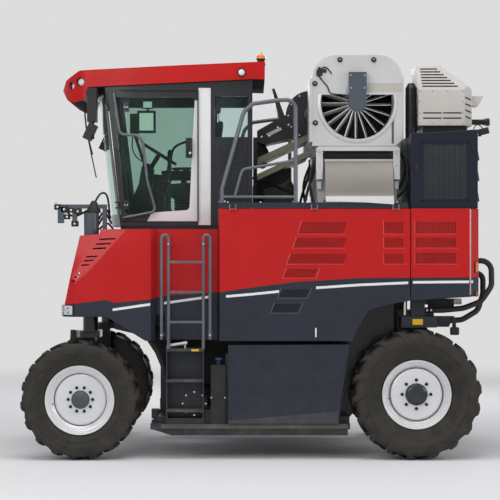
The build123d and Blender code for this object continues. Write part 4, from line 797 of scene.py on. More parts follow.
# Side tank: moulded black plastic with rounded corners, held by a strap with two bolts. Its blue cap has
# grip ribs. Two blank yellow labels mark the step and the rear leg.
softened(black_plastic, "side_tank", width=0.014, segments=4)
cap_blue = finish("cap_blue", "lamp_plastic", (0.012, 0.055, 0.22), roughness=0.35, coat=0.3, uneven=0.05)
tank_strap = [bar((-0.463, -1.25, 0.578), (-0.313, -1.243, 0.596), 0.002),
              *studs(((-0.452, 0.587), (-0.324, 0.587)), -1.2495, -1.256, 0.0085)]
make_piece("tank_strap", "chassis", tank_strap, black_plastic, chrome)
CAP_X, CAP_Y, CAP_R, CAP_RIBS = -0.384, -1.18, 0.034, 12
tank_cap = [rod((CAP_X, CAP_Y, 0.9405), (CAP_X, CAP_Y, 0.962), CAP_R, 24, round=0.004),
            *[rod((x, y, 0.943), (x, y, 0.959), 0.004, 8)
              for x, y in circle_of(CAP_RIBS, CAP_R, CAP_X, CAP_Y)]]
make_piece("tank_cap", "chassis", tank_cap, cap_blue)
warning_yellow = finish("label_yellow", "lamp_plastic", (0.72, 0.42, 0.01), dust=0.05, uneven=0.05)
labels = [bar((1.459, -1.1512, 1.272), (1.557, -1.1495, 1.326), 0.0003, segments=1),
          bar((-0.64, -1.2972, 1.028), (-0.57, -1.2952, 1.047), 0.0003, segments=1)]
make_piece("blank_labels", "chassis", labels, warning_yellow)

# The ladder and its hand loops, the railings and the door's rail: bent steel tube in a slightly uneven grey
# enamel. Round feet are bolted to the deck, and the ladder to the bay's wall.
tube_grey = finish("tube_grey", "steel_tube", (0.115, 0.125, 0.145), roughness=0.3, metallic=0.35,
                   dust=0.25, uneven=0.12)
dress(tube_grey, "ladder", "railings", "door_rail")
bolt_steel = finish("bolt_steel", "steel", (0.52, 0.53, 0.54), roughness=0.25, metallic=0.9, dust=0.05)
RAILING_Y, FOOT_TOP = -1.262, 2.4375
feet = []
for x in (-0.352, 0.344):
    feet.append(rod((x, RAILING_Y, 2.4295), (x, RAILING_Y, FOOT_TOP), 0.034, 24, round=0.001))
    for bolt_x in (x - 0.025, x + 0.025):
        feet.append(rod((bolt_x, RAILING_Y, FOOT_TOP), (bolt_x, RAILING_Y, 2.447), 0.0075, 6, round=0.001,
                        slot=1))
make_piece("railing_feet", "chassis", feet, tube_grey, bolt_steel, hands="both")
LADDER_FIXINGS = ((-0.855, 2.04), (-0.527, 2.04), (-0.921, 1.18), (-0.464, 1.18))
ladder_bolts = [*studs(LADDER_FIXINGS, -1.1105, -1.118, 0.024, 20, slot=0),
                *studs(LADDER_FIXINGS, -1.328, -1.334, 0.0095, 12, round=0.002)]
make_piece("ladder_bolts", "chassis", ladder_bolts, tube_grey, bolt_steel)

# The deck: folded steel edge beams in satin grey, and aluminium chequer plate between them, held down by a
# row of bolts along each side.


def chequer_material():
    """Grey plate with rows of small raised lozenges that lean both ways."""
    made, nodes, links = new_material("chequer_plate", "steel")
    place = add_node(nodes, "TexCoord")
    both_ways = add_node(nodes, "Math", operation="MAXIMUM")
    for number, degrees in enumerate((45, -45)):
        lean = add_node(nodes, "Mapping", {"Rotation": (0, 0, math.radians(degrees))})
        brick = add_node(nodes, "TexBrick", {
            "Scale": 24, "Mortar Size": 0.11, "Mortar Smooth": 0.6, "Brick Width": 0.9, "Row Height": 0.45,
        }, offset=0.5)
        wire(links, (place, "Object", lean, "Vector"), (lean, "Vector", brick, "Vector"),
             (brick, "Fac", both_ways, number))
    bump = add_node(nodes, "Bump", {"Strength": 0.9, "Distance": 0.003}, invert=True)
    life = add_node(nodes, "Group", {
        "Base": (0.16, 0.165, 0.17, 1), "Dust Colour": (*DUST, 1), "Dust": 0.3, "Dust Height": 4,
    }, node_tree=worked_surface)
    shader = add_node(nodes, "BsdfPrincipled", {"Metallic": 0.5})
    out = add_node(nodes, "OutputMaterial")
    wire(links, (both_ways, 0, bump, "Height"), (life, "Colour", shader, "Base Color"),
         (life, "Roughness", shader, "Roughness"), (bump, "Normal", shader, "Normal"),
         (shader, 0, out, "Surface"))
    return made


dress(chequer_material(), "deck")
deck_edge = [bar((-0.385, -1.2915, 2.379), (1.403, -1.2885, 2.4315), 0.001)]
make_piece("deck_edges", "chassis", deck_edge, body_grey, hands="both")
deck_bolts = [rod((x, -1.268, 2.43), (x, -1.268, 2.439), 0.01, 6, round=0.0015)
              for x in (-0.3, 0.01, 0.45, 0.98, 1.3)]
make_piece("deck_bolts", "chassis", deck_bolts, bolt_steel, hands="both")

# Engine housing: folded sheet box in the body's grey, with a big perforated screen each side in a pressed
# frame, and three rubber flaps across its back that open as the cooling fan blows.


def perforated_material():
    """Dark sheet punched in fine upright rows, seen as ribs and small dots."""
    made, nodes, links = new_material("perforated_sheet", "black_mesh")
    place = add_node(nodes, "TexCoord")
    holes = add_node(nodes, "Math", operation="MULTIPLY")
    for number, (direction, scale) in enumerate((("X", 14.0), ("Z", 40.0))):
        wave = add_node(nodes, "TexWave", {"Scale": scale}, bands_direction=direction)
        wire(links, (place, "Object", wave, "Vector"), (wave, "Fac", holes, number))
    patterned(nodes, links, (holes, 0), (0.008, 0.01, 0.013), (0.036, 0.042, 0.052),
              {"Strength": 0.7, "Distance": 0.004}, {"Roughness": 0.36, "Metallic": 0.3})
    return made


tower_grey = finish("tower_grey", "grey_paint", (0.009, 0.0125, 0.0225), roughness=0.3, coat=0.06,
                    dust=0.04, shine=0.2)
softened(tower_grey, "engine_housing", width=0.01, segments=3)
dress(perforated_material(), "engine_vents")
SCREEN_X0, SCREEN_X1, SCREEN_Z0, SCREEN_Z1 = 1.555, 1.965, 2.461, 2.985
screen_frame = []
for x in (SCREEN_X0 - 0.018, SCREEN_X1 + 0.002):
    screen_frame.append(bar((x, -1.256, SCREEN_Z0 - 0.018), (x + 0.016, -1.246, SCREEN_Z1 + 0.018)))
for z in (SCREEN_Z0 - 0.018, SCREEN_Z1 + 0.002):
    screen_frame.append(bar((SCREEN_X0 - 0.018, -1.256, z), (SCREEN_X1 + 0.018, -1.246, z + 0.016)))
RIB_COUNT, RIB_START, RIB_PITCH, RIB_Y = 26, SCREEN_X0 + 0.008, 0.0157, -1.2505
screen_ribs = []
for number in range(RIB_COUNT):
    x = RIB_START + number * RIB_PITCH
    screen_ribs.append(rod((x, RIB_Y, SCREEN_Z0), (x, RIB_Y, SCREEN_Z1), 0.0028, 8))
make_piece("screen_frames", "chassis", screen_frame, tower_grey, hands="both")
make_piece("screen_ribs", "chassis", screen_ribs, tower_grey, hands="both")
tower_fittings = []
for z in (2.56, 2.9):
    tower_fittings.append(bar((2.018, -1.262, z), (2.034, -1.249, z + 0.09), 0.004))
    tower_fittings.append(rod((2.026, -1.249, z + 0.045), (2.026, -1.266, z + 0.045), 0.012, 16, round=0.002))
tower_fittings.append(bar((1.475, -1.2565, 2.72), (1.5, -1.249, 2.8), 0.004))
make_piece("tower_latches", "chassis", tower_fittings, black_plastic, hands="both")
flap_rubber = finish("flap_rubber", "rubber", (0.028, 0.026, 0.027), roughness=0.7, dust=0.6,
                     dust_height=5, uneven=0.2)
FLAP_Z0, FLAP_PITCH, FLAP_HALF_Y = 2.45, 0.196, 1.121
flap_skins = []
for number in range(3):
    z = FLAP_Z0 + number * FLAP_PITCH
    flap_skins.append(plate([(2.045, z - 0.002), (2.1, z - 0.004), (2.07, z + 0.188), (2.045, z + 0.19)],
                            -FLAP_HALF_Y, FLAP_HALF_Y, 0.0015))
make_piece("cooling_flap_skins", "chassis", flap_skins, flap_rubber)

# Exhaust cover: welded warm-grey sheet with rows of slots and a cut-out scoop at the back, screwed down
# along its edges. The black tailpipe, the intake pipe in front and a work lamp stand round it.
sheet_warm = finish("sheet_warm", "steel", (0.5, 0.47, 0.44), roughness=0.42, metallic=0.12, dust=0.05,
                    uneven=0.05)
softened(sheet_warm, "exhaust_cover", width=0.004)
# Painted shade: thin black strips laid in the shallow slot grooves stand for the dark inside open slots, and
# a black plate set back under the cover's foot stands for the shade beneath it.
slot_painted_shade = finish("slot_painted_shade", "black_paint", (0.012, 0.011, 0.01), roughness=0.7)
SLOPE_FOOT_Z, SLOPE_DEGREES, SLOPE_RUN, SLOPE_NARROWS = 3.515, 40.1, 1.1858, 0.95
UPPER_SLOTS, SLOT_Z0, SLOT_PITCH = 7, 3.548, 0.031
slot_shade_strips = []
for number in range(UPPER_SLOTS):
    z = SLOT_Z0 + number * SLOT_PITCH
    y = -1.1 + (z - SLOPE_FOOT_Z) * SLOPE_RUN
    reach = 1.93 - (z - SLOPE_FOOT_Z) * SLOPE_NARROWS
    back = bar((1.56, y - 0.0085, z - 0.0014), (reach, y + 0.0115, z + 0.001), 0)
    slot_shade_strips.append(turned(back, SLOPE_DEGREES, "X", (1.56, y, z)))
for z in (3.29, 3.24):
    slot_shade_strips.append(bar((1.565, -1.0985, z - 0.006), (1.74, -1.09, z + 0.006), 0))
    slot_shade_strips.append(bar((1.755, -1.0985, z - 0.006), (1.93, -1.09, z + 0.006), 0))
for z in (3.43, 3.37, 3.31, 3.25):
    back = bar((-0.045, -0.0008, -0.007), (0.045, 0.002, 0.007), 0)
    turned(turned(back, 12, "Y"), 47.3, "Z")
    slot_shade_strips.append(moved(back, (1.9985, -1.055, z)))
make_piece("exhaust_slot_painted_shade", "chassis", slot_shade_strips, slot_painted_shade)
plinth_painted_shade = [plate([(1.562, 3.094), (1.988, 3.122), (1.988, 3.168), (1.562, 3.168)], -1.0535, -1.05)]
make_piece("plinth_painted_shade", "chassis", plinth_painted_shade, slot_painted_shade)
EDGE_SCREWS = [(x, z) for x in (1.535, 1.655, 1.8, 1.945) for z in (3.195, 3.5)]
END_SCREWS = [(x, z) for x in (1.533, 1.947) for z in (3.29, 3.4)]
screws = [*studs(EDGE_SCREWS, -1.0995, -1.1035, 0.008, 12, slot=0),
          *studs(END_SCREWS, -1.0995, -1.1035, 0.007, 12, slot=0)]
make_piece("exhaust_screws", "chassis", screws, bolt_steel)
black_enamel = finish("black_enamel", "black_paint", (0.013, 0.013, 0.015), roughness=0.3, dust=0.08)
dress(black_enamel, "engine_pipes")
INTAKE_RINGS, INTAKE_Z0, INTAKE_PITCH = 14, 3.125, 0.026
pipe_rings = []
for x in (2.05, 2.178, 2.228):
    pipe_rings.append(rod((x, -0.78, 3.225), (x + 0.01, -0.78, 3.225), 0.0345 if x < 2.2 else 0.04, 24,
                          round=0.002))
for number in range(INTAKE_RINGS):
    z = INTAKE_Z0 + number * INTAKE_PITCH
    pipe_rings.append(spun([(0.052, 0), (0.0585, 0.006), (0.0585, 0.01), (0.052, 0.016)],
                           (1.462, -0.96, z), (0, 0, 1), 28))
make_piece("pipe_rings", "chassis", pipe_rings, black_enamel)
work_lamp = [bar((2.1, -1.055, 3.088), (2.2, -0.975, 3.15), 0.008, segments=3),
             bar((2.196, -1.05, 3.092), (2.204, -0.98, 3.146), 0.002, slot=1),
             bar((2.04, -1.03, 3.072), (2.13, -1.0, 3.082), 0.002),
             rod((2.046, -1.015, 3.03), (2.046, -1.015, 3.08), 0.01, 12)]
for part in work_lamp[:2]:
    turned(part, -14, "Y", (2.15, 0, 3.12))
lamp_glass = lens_material("lamp_glass", (0.72, 0.74, 0.76), roughness=0.05)
make_piece("rear_work_lamp", "chassis", work_lamp, black_plastic, lamp_glass)
lines("work_lamp_wire", "chassis", 0.005, black_rubber,
      [[(2.035, -1.0, 3.06), (2.06, -0.99, 3.17), (2.11, -0.99, 3.195), (2.145, -1.0, 3.15)]])
low_lamp = [bar((1.826, -1.12, 1.172), (1.906, -1.04, 1.246), 0.01, segments=3),
            bar((1.904, -1.112, 1.18), (1.912, -1.048, 1.238), slot=1),
            bar((1.848, -1.055, 1.24), (1.884, -1.035, 1.34))]
make_piece("low_work_lamps", "chassis", low_lamp, black_plastic, lamp_glass, hands="both")

# Thick suction hoses at the rear: ribbed black rubber, fixed into the body's back and the wheel leg's side
# by bright worm clamps.
hose_rubber = finish("hose_rubber", "rubber", (0.016, 0.016, 0.016), roughness=0.5, dust=0.25,
                     dust_height=2.2, grain=60, ripple=0.002)
dress(hose_rubber, "hoses")
clamps = []
for x, z in ((1.6, 1.406), (1.64, 1.406)):
    clamps.append(rod((x, -1.01, z), (x + 0.014, -1.01, z), 0.029, 28, round=0.001))
    clamps.append(bar((x - 0.001, -1.046, z - 0.01), (x + 0.015, -1.03, z + 0.01), 0.002))
for x in (1.7, 1.74):
    clamps.append(rod((x, -0.9, 1.3), (x + 0.014, -0.9, 1.3), 0.029, 28, round=0.001))
make_piece("hose_clamps", "chassis", clamps, bolt_steel)

# Fan units: bright brushed sheet boxes with rolled corners. The rotor's blades stand nearly edge-on to
# its axis in a dark duct, and a folded blue-grey bracket over the mouth carries the motor.
bright_sheet = finish("bright_sheet", "steel", (0.5, 0.5, 0.5), metallic=0.3, dust=0.06, uneven=0.035,
                      grain=500, ripple=0.0001)
duct_black = finish("duct_black", "black_paint", (0.008, 0.008, 0.009), roughness=0.6)
blade_metal = finish("blade_metal", "steel", (0.78, 0.78, 0.77), roughness=0.3, metallic=0.25, dust=0.03,
                     uneven=0.1)
bracket_blue = finish("bracket_blue", "grey_paint", (0.052, 0.066, 0.086), roughness=0.35, coat=0.25,
                      dust=0.05)
softened(bright_sheet, "fan_housings", width=0.004)
softened(bracket_blue, "fan_mounts", width=0.005)
FAN_X, FAN_Z, FAN_R = 0.935, 3.385, 0.349
FAN_BLADES, BLADE_PITCH = 20, 13
fan_inside = [spun([(FAN_R - 0.0004, 0.652), (FAN_R - 0.0004, 1.1), (FAN_R - 0.004, 1.1),
                    (FAN_R - 0.004, 0.656), (0.03, 0.656), (0.03, 0.652)], (FAN_X, 0, FAN_Z), OUTWARD, 72)]
make_piece("duct_linings", "chassis", fan_inside, duct_black, hands="both")
for hand in HANDS:
    hub = spun([(0.021, 0.872), (0.058, 0.872), (0.061, 0.88), (0.061, 1.0), (0.052, 1.009), (0.021, 1.009)],
               (FAN_X, 0, FAN_Z), OUTWARD, 40)
    rotor_parts = [hub]
    for number in range(FAN_BLADES):
        blade = bar((0.054, -0.998, -0.0035), (0.336, -0.884, 0.0035), 0.002)
        turned(blade, BLADE_PITCH, "X", (0, -0.941, 0))
        turned(blade, number * 360 / FAN_BLADES, "Y")
        rotor_parts.append(moved(blade, (FAN_X, 0, FAN_Z)))
    rotor = make_piece(f"fan_wheel_{hand}", f"fan_{hand}", rotor_parts, blade_metal, hands=hand)
    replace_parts(rotor, f"fan_rotor_{hand}")


def cut_above(part, z):
    """Takes off what stands above a height, and closes the cut."""
    bmesh.ops.bisect_plane(part, geom=part.verts[:] + part.edges[:] + part.faces[:], plane_co=(0, 0, z),
                           plane_no=(0, 0, 1), clear_outer=True)
    bmesh.ops.holes_fill(part, edges=part.edges, sides=12)
    return part


lip = spun([(FAN_R, 0), (FAN_R + 0.034, 0), (FAN_R + 0.03, 0.01), (FAN_R + 0.006, 0.016), (FAN_R, 0.012)],
           (FAN_X, -1.1195, FAN_Z), OUTWARD, 96)
# Painted light: the bracket's slanted side face takes a pale grey for the light it catches.
bracket_side = plate([(0.866, 3.66), (0.866, 3.42), (0.828, 3.5)], -1.196, -1.122, 0.001, slot=2)
inner_ring = spun([(FAN_R - 0.0045, 0.985), (FAN_R - 0.0045, 1.118), (FAN_R - 0.0065, 1.118),
                   (FAN_R - 0.0065, 0.985)], (FAN_X, 0, FAN_Z), OUTWARD, 96, slot=1)
fan_trim = [
    cut_above(lip, 3.464),
    cut_above(inner_ring, 3.46),
    bracket_side,
    # Painted shade: a thin dark brown bar for the shade in the recess at the housing's corner.
    bar((1.262, -1.1215, 2.996), (1.284, -1.119, 3.458), 0.001, slot=3),
    bar((0.58, -1.13, 3.462), (1.286, -1.119, 3.478)),
    bar((0.477, -1.126, 3.01), (0.508, -0.66, 3.62), 0.004),
    bar((1.29, -1.124, 3.03), (1.3, -1.118, 3.47), 0.002),
    bar((1.362, -1.11, 3.04), (1.378, -1.06, 3.64), 0.004),
    bar((0.504, -1.125, 2.974), (1.306, -1.112, 2.992)),
    bar((1.02, -1.1225, 3.49), (1.364, -1.1195, 3.575), 0.001, slot=1),
]
band_beige = finish("band_beige", "steel", (0.4, 0.385, 0.345), roughness=0.5, uneven=0.03)
bracket_side_painted_light = finish("bracket_side_painted_light", "steel", (0.26, 0.27, 0.28), uneven=0.04)
recess_painted_shade = finish("recess_painted_shade", "steel", (0.085, 0.075, 0.065), roughness=0.5, uneven=0.15)
make_piece("fan_trim", "chassis", fan_trim, bright_sheet, band_beige, bracket_side_painted_light, recess_painted_shade,
           hands="both")
knobs = []
for x, z in ((0.77, 3.796), (1.092, 3.796), (0.532, 3.569), (0.536, 3.194)):
    knobs.append(spun([(0, 0.026), (0.012, 0.026), (0.021, 0.022), (0.023, 0.012), (0.019, 0.004), (0.026, 0),
                       (0, 0)], (x, -1.12, z), OUTWARD, 24, closed=False))
    knobs.append(rod((x, -1.1445, z), (x, -1.149, z), 0.007, 8, slot=1))
make_piece("fan_knobs", "chassis", knobs, black_plastic, bolt_steel, hands="both")
wiring = [bar((0.545, -1.146, 3.64), (0.6, -1.118, 3.7), 0.006),
          bar((0.59, -1.14, 3.672), (0.64, -1.118, 3.706), 0.005),
          bar((0.56, -1.15, 3.69), (0.585, -1.118, 3.724), 0.005),
          bar((0.6, -1.1225, 3.6), (0.7, -1.119, 3.69), 0.001, slot=1),
          rod((0.86, -1.124, 3.452), (0.86, -1.17, 3.452), 0.013, 12)]
turned(wiring[3], 32, "Y", (0.65, 0, 3.645))
make_piece("fan_wiring_blocks", "chassis", wiring, black_plastic, bright_sheet, hands="both")
lines("fan_wires", "chassis", 0.006, black_rubber, [
    [(0.56, -1.128, 3.65), (0.61, -1.126, 3.585), (0.655, -1.126, 3.54), (0.668, -1.126, 3.48),
     (0.7, -1.136, 3.468), (0.78, -1.14, 3.462), (0.845, -1.14, 3.455)],
    [(0.58, -1.13, 3.7), (0.62, -1.135, 3.735), (0.665, -1.13, 3.7), (0.69, -1.124, 3.66)],
], hands="both")
bracket_bolts = studs([(x, z) for x in (0.87, 1.0) for z in (3.64, 3.52)], -1.2045, -1.21, 0.008, slot=0)
make_piece("bracket_bolts", "chassis", bracket_bolts, bolt_steel, hands="both")

# Sorting tables: bright welded frames with a black bristle roller under a cover rail, and a curved
# polished sheet below it whose lower edge is bent out to throw the leaves clear of the machine.
sheet_polished = finish("sheet_polished", "steel", (0.205, 0.19, 0.168), roughness=0.42, metallic=0.35,
                        dust=0.05, uneven=0.03, grain=500, ripple=0.0001)
softened(bright_sheet, "sorter_frames", width=0.004)
softened(sheet_polished, "drop_chutes", width=0.001, segments=1)
bristle = finish("bristle", "black_plastic", (0.01, 0.01, 0.01), roughness=0.75, grain=900, ripple=0.004)
dress(bristle, "brush_rollers")
TUFT_RINGS, TUFT_X0, TUFT_PITCH = 33, 0.628, 0.0188
TUFT = ((0.03, 0), (0.0405, 0.005), (0.0405, 0.009), (0.03, 0.014))
tufts = [spun(TUFT, (TUFT_X0 + number * TUFT_PITCH, -1.105, 2.885), (1, 0, 0), 20)
         for number in range(TUFT_RINGS)]
make_piece("roller_tufts", "chassis", tufts, bristle, hands="both")
table_trim = [
    bar((0.545, -1.158, 2.925), (1.338, -1.146, 2.958)),
    bar((0.622, -1.12, 2.818), (1.277, -1.098, 2.85), 0.002),
    bar((0.626, -1.302, 2.436), (1.273, -1.2985, 2.446), 0.001),
]
table_trim += studs([(x, 2.834) for x in (0.64, 0.8, 0.95, 1.1, 1.25)], -1.119, -1.125, 0.006, 10, round=0)
for x in (0.548, 1.282):
    table_trim += studs([(x + 0.026, z) for z in (2.905, 2.79, 2.705)], -1.149, -1.156, 0.011)
    table_trim.append(bar((x - 0.004, -1.162, 2.655), (x + 0.056, -1.148, 2.735), 0.004))
    table_trim.append(bar((x + 0.004, -1.13, 2.56), (x + 0.046, -1.062, 2.64), 0.004))
make_piece("table_trim", "chassis", table_trim, bright_sheet, bolt_steel, hands="both")
# Painted light: the bent-out lower edge takes a much paler grey than the chute sheet it is bent from, for the
# light on the chute's lower part.
lip_painted_light = finish("lip_painted_light", "steel", (0.42, 0.42, 0.415), metallic=0.25, dust=0.05, uneven=0.04)
chute_lip = plate([(0.632, 2.4435), (1.0, 2.43), (1.27, 2.408), (1.273, 2.5), (0.626, 2.5)], 0, 0.001)
moved(turned(chute_lip, -32, "X", (0, 0, 2.4435)), (0, -1.3022, 0))
make_piece("chute_lips", "chassis", [chute_lip], lip_painted_light, hands="both")
lines("table_hoses", "chassis", 0.014, black_rubber, [
    [(1.32, -1.0, 2.94), (1.395, -1.04, 2.9), (1.42, -1.06, 2.76), (1.418, -1.06, 2.62),
     (1.37, -1.04, 2.52), (1.31, -1.02, 2.48)],
    [(1.325, -0.96, 2.95), (1.405, -0.98, 2.86), (1.405, -0.99, 2.7), (1.34, -1.0, 2.56)],
    [(0.56, -1.0, 2.9), (0.505, -1.04, 2.78), (0.48, -1.06, 2.64), (0.5, -1.06, 2.5),
     (0.52, -1.06, 2.43)],
    [(0.562, -0.96, 2.86), (0.52, -1.01, 2.7), (0.462, -1.02, 2.56), (0.44, -1.02, 2.43)],
], hands="both")

# Return conveyor behind the cab: black belt casing with bright bolts round its drum, and two sloping
# sheet chutes in brown-grey that carry the crop across.
casing_black = finish("casing_black", "black_paint", (0.013, 0.014, 0.015), roughness=0.36, dust_height=5,
                      uneven=0.1)
dress(casing_black, "return_conveyor")
chute_brown = finish("chute_brown", "steel", (0.145, 0.135, 0.1), roughness=0.35, metallic=0.4, dust=0.2,
                     dust_height=5, uneven=0.15)
dress(chute_brown, "transfer_chutes")
dress(casing_black, "elevators")
DRUM_X, DRUM_Z, DRUM_BOLT_CIRCLE, DRUM_BOLTS = 0.522, 3.332, 0.225, 12
conveyor_trim = [
    *studs(circle_of(DRUM_BOLTS, DRUM_BOLT_CIRCLE, DRUM_X, DRUM_Z), -0.199, -0.207, 0.009),
    spun([(0, 0.012), (0.06, 0.012), (0.075, 0.006), (0.08, 0), (0, 0)], (DRUM_X, -0.2, DRUM_Z), OUTWARD,
         32, closed=False),
    *studs(((0.11, 3.13), (0.19, 3.215), (0.3, 3.24), (0.03, 3.12)), -0.199, -0.21, 0.011, 8),
    plate([(0.075, 3.15), (0.215, 3.215), (0.235, 3.19), (0.095, 3.118)], -0.199, -0.207, 0.001, slot=2),
]
make_piece("conveyor_trim", "chassis", conveyor_trim, casing_black, bolt_steel, sheet_warm)
drive_side = [
    plate([(-0.06, 2.432), (-0.06, 2.64), (0.045, 2.73), (0.33, 2.83), (0.33, 2.71), (0.37, 2.64),
           (0.37, 2.432)], 0.29, 0.3, 0.002),
    plate([(0.05, 2.47), (0.05, 2.6), (0.3, 2.69), (0.345, 2.62), (0.345, 2.47)], 0.284, 0.288,
          slot=1),
    plate([(0.06, 2.7), (0.4, 2.56), (0.39, 2.535), (0.05, 2.675)], 0.262, 0.282, 0.003),
    plate([(0.04, 2.54), (0.33, 2.72), (0.345, 2.697), (0.055, 2.515)], 0.262, 0.282, 0.003, slot=2),
    plate([(-0.055, 3.08), (0.06, 3.08), (0.11, 2.98), (0.02, 2.84), (-0.055, 2.84)], 0.15, 0.17, 0.003),
    rod((0.04, 0.262, 2.87), (0.04, 0.3, 2.87), 0.05, 28, round=0.004),
]
olive_sheet = finish("olive_sheet", "olive_plastic", (0.05, 0.052, 0.024), roughness=0.3, coat=0.2,
                     uneven=0.2)
make_piece("conveyor_drive", "chassis", drive_side, casing_black, olive_sheet, chute_brown)
dress(black_plastic, "picking_head", "catch_plates", "engine_block")

# Cab shell: dark powder-coated posts round large bonded panes of green-tinted safety glass, with white
# covers on the rear pillars. The door hangs at the front and has a white lower panel and a bent grab rail.


def tinted_glass(name, tint, clear, roughness):
    """Bonded pane: see-through green with a thin glossy skin and faint smears."""
    made, nodes, links = new_material(name, "glass")
    place = add_node(nodes, "TexCoord")
    smears = add_node(nodes, "TexNoise", {"Scale": 3.0, "Detail": 6})
    milky = add_node(nodes, "MapRange", {
        "From Min": 0.35, "From Max": 0.8, "To Min": clear, "To Max": clear + 0.06,
    })
    worn = add_node(nodes, "MapRange", {"To Min": roughness, "To Max": roughness + 0.08})
    see_pane = add_node(nodes, "BsdfTransparent", {"Color": (*tint, 1)})
    skin = add_node(nodes, "BsdfPrincipled", {"Base Color": (0.25, 0.33, 0.31, 1), "Coat Weight": 0.5})
    mixed = add_node(nodes, "MixShader")
    out = add_node(nodes, "OutputMaterial")
    wire(links, (place, "Object", smears, "Vector"), (smears, "Fac", milky, "Value"),
         (smears, "Fac", worn, "Value"), (milky, "Result", mixed, "Fac"), (worn, "Result", skin, "Roughness"),
         (see_pane, 0, mixed, 1), (skin, 0, mixed, 2), (mixed, 0, out, "Surface"))
    return made


cab_dark = finish("cab_dark", "black_paint", (0.011, 0.012, 0.016), roughness=0.3, coat=0.15, dust=0.04)
white_cover = finish("white_cover", "white_paint", (0.7, 0.7, 0.71), roughness=0.36, dust=0.1, uneven=0.03)
seal_black = finish("seal_black", "rubber", (0.01, 0.01, 0.011), roughness=0.65)
softened(cab_dark, "cab_frame", width=0.008, segments=3)
softened(cab_dark, "door_frame", width=0.006)
softened(white_cover, "white_pillars", "door_panel", width=0.006, segments=3)
dress(tinted_glass("cab_glass", (0.9, 0.955, 0.945), 0.03, 0.02), "cab_windows")
dress(tinted_glass("door_glass", (0.61, 0.735, 0.675), 0.02, 0.02), "door_glass")
cab_foot = [bar((-1.29, -0.735, 2.176), (-0.395, -0.69, 2.232), 0.004)]
make_piece("cab_foot_seal", "chassis", cab_foot, black_rubber, hands="both")
seals = [bar((-0.598, -0.788, 2.262), (-0.59, -0.744, 3.53), 0.002),
         bar((-1.33, -0.788, 3.531), (-0.592, -0.744, 3.54), 0.002)]
make_piece("door_seals", "chassis", seals, seal_black)
door_fittings = [
    bar((-0.712, -0.792, 2.878), (-0.65, -0.752, 3.074), 0.012, segments=3),
    bar((-0.7, -0.802, 2.905), (-0.684, -0.788, 3.045), 0.005),
    rod((-0.668, -0.79, 2.925), (-0.668, -0.796, 2.925), 0.012, round=0.001, slot=1),
]
make_piece("door_latch", "cab_door", door_fittings, black_plastic, bolt_steel)
hinge_leaves = []
for z in (2.42, 3.37):
    hinge_leaves.append(bar((-1.318, -0.803, z - 0.045), (-1.262, -0.79, z + 0.045), 0.004))
    hinge_leaves += studs(((-1.3, z), (-1.276, z)), -0.802, -0.808, 0.007)
make_piece("hinge_leaves", "cab_door", hinge_leaves, cab_dark, bolt_steel)
lines("inner_grab_bar", "cab_door", 0.012, black_rubber,
      [[(-0.69, -0.716, 3.04), (-0.8, -0.69, 3.02), (-0.862, -0.68, 2.93), (-0.868, -0.68, 2.7),
        (-0.872, -0.68, 2.44), (-0.868, -0.69, 2.35), (-0.8, -0.714, 2.33)]])

# Wiper: a black pressed arm on a boss under the roof edge, with a rubber blade lying down the windscreen.
# A vented dark panel, clipped on, closes each rear side of the cab below its window.
wiper_parts = [rod((-1.7, -0.33, 3.44), (-1.742, -0.33, 3.45), 0.022, round=0.003)]
make_piece("wiper_boss", "chassis", wiper_parts, black_plastic)
lines("wiper_arm", "chassis", 0.008, black_plastic,
      [[(-1.738, -0.33, 3.45), (-1.73, -0.345, 3.3), (-1.7, -0.38, 3.1), (-1.65, -0.4, 2.93)]])
lines("wiper_blade", "chassis", 0.006, black_rubber,
      [[(-1.712, -0.405, 3.18), (-1.668, -0.405, 2.96), (-1.612, -0.405, 2.7)]])
VENT_RIBS, VENT_Z0, VENT_PITCH = 16, 2.48, 0.033
rear_panel = [bar((-0.415, -0.746, 2.421), (-0.11, -0.738, 3.044), 0.006)]
for number in range(VENT_RIBS):
    z = VENT_Z0 + number * VENT_PITCH
    rear_panel.append(bar((-0.385, -0.75, z), (-0.14, -0.744, z + 0.01), 0.002))
make_piece("rear_side_panels", "chassis", rear_panel, cab_dark, hands="both")

# Roof: one large moulding in bright red lacquer, bolted down on the cab's posts. Its faces that look down,
# under the overhangs, take a matte black that is painted shade.
roof_red = finish("roof_red", "red_paint", (0.42, 0.0075, 0.007), roughness=0.32, coat=0.04, dust=0.03,
                  uneven=0.025, shine=0.15)
softened(roof_red, "cab_roof", width=0.014, segments=4)
roof_underside_painted_shade = finish("roof_underside_painted_shade", "black_plastic", (0.01, 0.01, 0.011), roughness=0.8, dust=0.05,
                     shine=0.1)
# The matte black on the downward faces is painted shade under the overhangs.
roof_skin = bpy.data.objects["cab_roof_shaped"].data
roof_skin.materials.append(roof_underside_painted_shade)
for face in roof_skin.polygons:
    if face.normal.z < -0.6:
        face.material_index = 1

